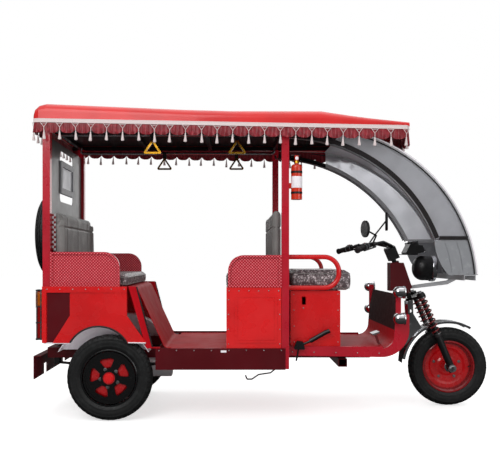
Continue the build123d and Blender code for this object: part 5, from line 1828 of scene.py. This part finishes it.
    def bar_fittings(self) -> None:
        """Ribs round the grips, switches on their housings and nuts on the clamp."""
        p = self.paints
        ribs, switches, plates = Shape(), Shape(), Shape()
        inner, outer = Vector(self.grip_inner), Vector(self.grip_outer)
        along = (outer - inner).normalized()
        for k in range(13):
            spot = inner + along * (0.068 + 0.006 * k)
            rib = lathe([(0.0158, -0.0014), (0.0172, -0.0006), (0.0172, 0.0006), (0.0158, 0.0014)], 20)
            ribs.add(rib.placed(facing(spot, along)))
        end = lathe([(0.0195, -0.004), (0.0195, 0.002), (0.016, 0.004), (0, 0.004)], 24)
        ribs.add(end.placed(facing(outer, along)))
        leaning_back = Vector((-0.35, 0, 1))
        up = (leaning_back - along * leaning_back.dot(along)).normalized()
        for shift, group in ((0.034, switches), (0.048, plates)):
            spot = inner + along * shift + up * 0.0215
            group.add(cuboid((0.009, 0.009, 0.007), 0.0012).placed(facing(spot, up)))
        for shift in (0.022, 0.060):
            seam = lathe([(0.0210, -0.001), (0.0218, -0.0004), (0.0218, 0.0004), (0.0210, 0.001)], 28)
            plates.add(seam.placed(facing(inner + along * shift, along)))
        piece("grip_ribs", ribs.both_sides(), p.trim_rubber, "steering", "black_plastic")
        piece("bar_switches_red", switches.both_sides(), p.red_lens, "steering", "lamp_lens")
        piece("bar_switches_grey", plates.both_sides(), p.grey_plastic, "steering", "grey_moulding")
        bolts = Shape()
        for x in (-0.018, 0.026):
            for y in (-0.030, 0.030):
                bolts.add(hex_bolt(0.0058, 0.008).at(x, y, self.clamp_top))
        bolts.add(hex_bolt(0.013, 0.014).at(0, 0, self.clamp_top))
        piece("clamp_bolts", bolts.placed(STEER_FRAME), p.zinc, "steering", "chrome", NUT_SMOOTH)

    def build(self) -> None:
        """Fit everything."""
        self.headlamp()
        self.bullet_lenses()
        self.dials()
        self.mirror_glasses()
        self.bar_fittings()


# ---------------------------------------------------------------- front end
@dataclass
class FrontEnd:
    """Fork seals, axle nuts, spring seats, the fender's black band and its mud flap."""

    paints: PaintShop
    leg_ahead: float = 0.050
    leg_half: float = 0.090
    slider_top: float = -0.3975
    yoke_z: float = -0.146
    fender_centre: tuple[float, float] = (1.141, 0.245)
    fender_r: float = 0.286
    fender_half: float = 0.056

    def fender_band(self, start: float, end: float, rise: float, half: float, thick: float) -> Shape:
        """Curved band laid over the fender.

        Args:
            start: first angle in degrees.
            end: last angle in degrees.
            rise: height of its underside above the fender.
            half: half its width.
            thick: its thickness.

        Returns:
            The band.
        """
        section = [(-half, 0.0), (half, 0.0), (half, thick), (-half, thick)]
        rings = []
        for point in arc_path(self.fender_centre, self.fender_r + rise, 0.0, start, end, 40):
            out = Vector((point.x - self.fender_centre[0], 0, point.z - self.fender_centre[1])).normalized()
            rings.append([point + out * up + Vector((0, y, 0)) for y, up in section])
        return lofted(rings)

    def build(self) -> None:
        """Fit everything."""
        p = self.paints
        seals, seats = Shape(), Shape()
        for side in Side:
            leg = (self.leg_ahead, side.value * self.leg_half)
            top = self.slider_top
            ring = [(0.0225, top - 0.016), (0.0240, top - 0.014), (0.0240, top - 0.003), (0.0205, top + 0.003),
                    (0.0150, top + 0.004)]
            seals.add(lathe(ring, 36).at(*leg, 0))
            for z in (top + 0.0045, self.yoke_z - 0.004):
                seats.add(ring_of(0.0150, 0.0275, z - 0.002, z + 0.002).at(*leg, 0))
            cap = self.yoke_z + 0.026
            seats.add(hex_bolt(0.0125, 0.012).at(*leg, cap))
        piece("fork_dust_seals", seals.placed(STEER_FRAME), p.trim_rubber, "steering", "black_plastic")
        piece("fork_spring_seats", seats.placed(STEER_FRAME), p.zinc, "steering", "chrome")
        nuts = Shape()
        for side in Side:
            place = facing((FRONT_AXLE_X, side.value * 0.112, AXLE_Z), (0, side.value, 0))
            nuts.add(hex_bolt(0.0165, 0.012).placed(place))
        piece("front_axle_nuts", nuts, p.zinc, "steering", "chrome", NUT_SMOOTH)
        band = self.fender_band(96, 169, 0.0004, self.fender_half - 0.010, 0.0016)
        piece("fender_black_band", band, p.black, "steering", "black_paint")
        beads = Shape()
        for side in Side:
            y = side.value * (self.fender_half - 0.0012)
            beads.add(tube(arc_path(self.fender_centre, self.fender_r + 0.0006, y, 60.5, 169.5, 48), 0.0024, 8))
        piece("fender_edge_beads", beads, p.chrome, "steering", "chrome")
        cx, cz = self.fender_centre
        angle = radians(169.0)
        top = Vector((cx + (self.fender_r + 0.002) * cos(angle), 0, cz + (self.fender_r + 0.002) * sin(angle)))
        flap = slab([(-0.050, -0.070), (0.050, -0.070), (0.046, 0.030), (-0.046, 0.030)], 0.003, 0.0008)
        lean = Matrix.Rotation(radians(-84), 4, "Y") @ Matrix.Rotation(radians(90), 4, "Z")
        flap = flap.placed(Matrix.Translation(top) @ lean)
        piece("fender_mud_flap", flap, p.trim_rubber, "steering", "black_plastic")


# ---------------------------------------------------------------- body trims
@dataclass
class BodyTrim:
    """Arch rubbers, edge strips, white strips painted as highlights, guards, reflectors, bindings, maroon
    plates painted as recess shade, a lining painted black as shade, and rivets.
    """

    paints: PaintShop
    skin: float = 0.476
    arch_centre: tuple[float, float] = (-0.960, 0.353)
    arch_r: float = 0.187
    check: float = 0.0106
    check_rise: float = 0.0140
    bottle: tuple[float, float] = (0.158, -0.452)

    def arch_edges(self) -> None:
        """Rubber along the wheel arch, white strips under the panel that paint in the highlight on its foot
        flange, and the risers' black edges.
        """
        p = self.paints
        y = -(self.skin + 0.006)
        arc = arc_path(self.arch_centre, self.arch_r, y, 31, 149, 40)
        foot = [Vector((-0.694, y, 0.447)), arc[0] + Vector((0.006, 0, 0))]
        piece("arch_rubbers", tube(arc, 0.0052, 10).both_sides(), p.trim_rubber, "chassis", "black_plastic")
        # white strips painted where the panel's foot flange catches a highlight
        strips = tube(foot, 0.0034, 8)
        strips.add(tube([Vector((-1.270, y + 0.004, 0.4455)), Vector((-1.126, y + 0.004, 0.4455))], 0.0034, 8))
        piece("panel_foot_painted_highlights", strips.both_sides(), p.white_plastic, "chassis", "liner_white")
        edge = [Vector((-0.7465, -0.4745, 0.762)), Vector((-0.6575, -0.4745, 0.424))]
        piece("riser_edges", tube(edge, 0.0042, 8).both_sides(), p.trim_rubber, "chassis", "black_plastic")

    def tail_guards(self) -> None:
        """Black backing, dividers and chrome bars on the tail lamps, and their amber fields."""
        p = self.paints
        bars, black, amber = Shape(), Shape(), Shape()
        for x in (-1.309, -1.286):
            bars.add(cuboid((0.006, 0.005, 0.286), 0.001).at(x, -0.4752, 0.605))
        for z in (0.560, 0.650):
            black.add(cuboid((0.040, 0.052, 0.006), 0.001).at(-1.297, -0.4490, z))
        for z in (0.468, 0.742):
            black.add(cuboid((0.042, 0.052, 0.010), 0.002).at(-1.296, -0.4490, z))
        amber.add(cuboid((0.0385, 0.0505, 0.078), 0.003).at(-1.2975, -0.4498, 0.695))
        piece("tail_guard_bars", bars.both_sides(), p.chrome, "chassis", "chrome")
        piece("tail_lamp_dividers", black.both_sides(), p.black_plastic, "chassis", "black_plastic")
        piece("tail_lamp_amber", amber.both_sides(), p.amber_lens, "chassis", "lamp_lens")

    def reflectors(self) -> None:
        """Pale side reflectors on the sills."""
        pad = slab([(-0.016, -0.006), (0.016, -0.006), (0.016, 0.006), (-0.016, 0.006)], 0.004, 0.0012)
        shape = pad.placed(facing((-0.256, -0.478, 0.399), (0, -1, 0))).both_sides()
        piece("side_reflectors", shape, self.paints.white_plastic, "chassis", "liner_white")

    def bindings(self) -> None:
        """Chequered binding down each end of the rear seat's back."""
        checks = Shape()
        dark = Shape()
        for row in range(15):
            for column in range(2):
                x, z = -1.2295 + self.check * column, 0.975 + self.check_rise * row
                square = cuboid((self.check - 0.0002, 0.0016, self.check_rise - 0.0002), 0.0004)
                (checks if (row + column) % 2 else dark).add(square.at(x, -0.4312, z))
        piece("back_binding_silver", checks.both_sides(), self.paints.silver, "chassis", "silver_paint")
        piece("back_binding_red", dark.both_sides(), self.paints.spring, "chassis", "red_paint")

    def painted_recess_shade(self) -> None:
        """Maroon plates that paint in the shade of the hollows beside the rear arch."""
        outline = [(-1.251, 0.450), (-1.219, 0.450), (-1.124, 0.592), (-1.124, 0.729), (-1.251, 0.729)]
        # maroon laid over the red skin as painted shade in the recess
        plate = slab(outline, 0.0012)
        place = Matrix.Translation((0, -self.skin + 0.0002, 0)) @ Matrix.Rotation(radians(90), 4, "X")
        piece("painted_recess_shade", plate.placed(place).both_sides(), self.paints.maroon, "chassis", "maroon_paint")

    def lining(self) -> None:
        """Hardboard ceiling above the roof bows, with cover strips, painted black as the shade under the roof.
        """
        board = cuboid((1.800, 0.856, 0.003)).at(-0.385, 0, 1.7018)
        for x in (-1.028, -0.58, -0.133, 0.296):
            board.add(cuboid((0.030, 0.850, 0.003), 0.0008).at(x, 0, 1.6990))
        # the black stands for the shade under the roof
        piece("ceiling_boards_painted_shade", board, self.paints.black, "chassis", "black_paint")

    def straps(self) -> None:
        """Webbing wrapped round the hand grips' straps."""
        shape = Shape()
        for x in (-0.670, -0.178):
            shape.add(cuboid((0.025, 0.0075, 0.016), 0.001).at(x, -0.360, 1.6235))
            shape.add(cuboid((0.025, 0.0150, 0.007), 0.002).at(x, -0.360, 1.6115))
            wrap = ring_of(0.0100, 0.0118, -0.0125, 0.0125, 20)
            shape.add(wrap.placed(facing((x, -0.360, 1.640), (1, 0, 0))))
        piece("grip_straps", shape.both_sides(), self.paints.trim_rubber, "chassis", "black_plastic")

    def extinguisher(self) -> None:
        """Bands, valve lever, gauge and nozzle cap of the extinguisher."""
        p = self.paints
        x, y = self.bottle
        band = lathe([(0.0318, 1.322), (0.0322, 1.323), (0.0322, 1.386), (0.0318, 1.387)], 36).at(x, y, 0)
        piece("bottle_band", band, p.white_plastic, "chassis", "liner_white")
        strap = lathe([(0.0318, 1.288), (0.0328, 1.289), (0.0328, 1.300), (0.0318, 1.301)], 36).at(x, y, 0)
        strap.add(lathe([(0.0318, 1.405), (0.0328, 1.406), (0.0328, 1.417), (0.0318, 1.418)], 36).at(x, y, 0))
        strap.add(cuboid((0.052, 0.010, 0.004), 0.001).at(x - 0.004, y, 1.5085))
        piece("bottle_straps", strap, p.black, "chassis", "black_paint")
        cap = lathe([(0.0150, 1.462), (0.0150, 1.474), (0.0125, 1.478)], 28).at(x, y, 0)
        piece("bottle_collar", cap, p.brass, "chassis", "brass")
        gauge = lathe([(0.0095, 0.010), (0.0095, 0.0165), (0.0078, 0.0175), (0, 0.0175)], 24)
        gauge = gauge.placed(facing((x, y, 1.490), (0, -1, 0)))
        piece("bottle_gauge", gauge, p.white_plastic, "chassis", "liner_white")

    def rivets(self) -> None:
        """Rivets, screws and bolts of the body, by rows."""
        y = -(self.skin + 0.0100)
        rows = (
            # start, end, count, outward direction, radius
            ((-1.250, y, 0.749), (-0.815, y, 0.749), 7, (0, -1, 0), 0.0034),
            ((-0.225, -0.4735, 0.740), (0.055, -0.4735, 0.740), 6, (0, -1, 0), 0.0036),
            ((-0.228, -0.4735, 0.440), (-0.228, -0.4735, 0.690), 4, (0, -1, 0), 0.0032),
            ((0.061, -0.4735, 0.440), (0.061, -0.4735, 0.690), 4, (0, -1, 0), 0.0032),
            ((-0.620, -0.4782, 0.404), (0.070, -0.4782, 0.404), 8, (0, -1, 0), 0.0034),
            ((0.205, -0.3775, 0.636), (0.205, -0.3775, 0.636), 1, (0, -1, 0), 0.0040),
            ((0.150, -0.3775, 0.440), (0.150, -0.3775, 0.716), 4, (0, -1, 0), 0.0030),
            ((0.404, -0.3775, 0.440), (0.404, -0.3775, 0.716), 4, (0, -1, 0), 0.0030),
            ((0.140, -0.3885, 0.384), (0.640, -0.3885, 0.376), 5, (0, -1, 0), 0.0038),
            ((-1.2600, -0.400, 0.470), (-1.2600, -0.400, 1.600), 12, (-1, 0, 0), 0.0034),
            ((-1.2600, -0.210, 1.250), (-1.2600, -0.210, 1.600), 4, (-1, 0, 0), 0.0034),
            ((-1.3305, -0.440, 0.352), (-1.3305, -0.060, 0.352), 4, (-1, 0, 0), 0.0040),
            ((0.7375, -0.350, 0.560), (0.7400, -0.350, 0.600), 2, (1, 0, 0), 0.0038),
        )
        shape = Shape()
        for start, end, count, out, radius in rows:
            a, b = Vector(start), Vector(end)
            for k in range(count):
                spot = a.lerp(b, k / max(1, count - 1))
                shape.add(dome_rivet(radius).placed(facing(spot, out)))
        piece("body_rivets", shape.both_sides(), self.paints.zinc, "chassis", "chrome")

    def underside(self) -> None:
        """U-bolts and plates that hold the axle to its springs, and the brakes' backing plates."""
        bolts, plates = Shape(), Shape()
        for x in (REAR_AXLE_X - 0.038, REAR_AXLE_X + 0.038):
            for y in (-0.326, -0.274):
                bolts.add(tube([Vector((x, y, 0.196)), Vector((x, y, 0.316))], 0.0045, 10))
                bolts.add(hex_bolt(0.0075, 0.009).placed(facing((x, y, 0.206), (0, 0, -1))))
        plates.add(cuboid((0.110, 0.072, 0.008), 0.001).at(REAR_AXLE_X, -0.300, 0.2100))
        plates.add(cuboid((0.110, 0.060, 0.006), 0.001).at(REAR_AXLE_X, -0.300, 0.3060))
        drum = ring_of(0.031, 0.100, 0.0, 0.005, 48)
        plates.add(drum.placed(facing((REAR_AXLE_X, -0.356, AXLE_Z), (0, -1, 0))))
        piece("axle_u_bolts", bolts.both_sides(), self.paints.zinc, "chassis", "chrome")
        piece("axle_plates", plates.both_sides(), self.paints.black, "chassis", "black_paint")

    def build(self) -> None:
        """Fit everything."""
        for fit in (
            self.arch_edges, self.tail_guards, self.reflectors, self.bindings, self.painted_recess_shade, self.lining,
            self.straps, self.extinguisher, self.rivets, self.underside,
        ):
            fit()


def main() -> None:
    """Dress the vehicle and hand it over."""
    logging.basicConfig(level=logging.INFO, format="%(message)s")
    paints = PaintShop()
    Studio().build()
    paints.dress()
    CanopyTrim(paints).build()
    Upholstery(paints).build()
    for fitting in (WheelFittings, ScreenTrim, Cockpit, FrontEnd, BodyTrim):
        fitting(paints).build()


if __name__ == "__main__":
    main()
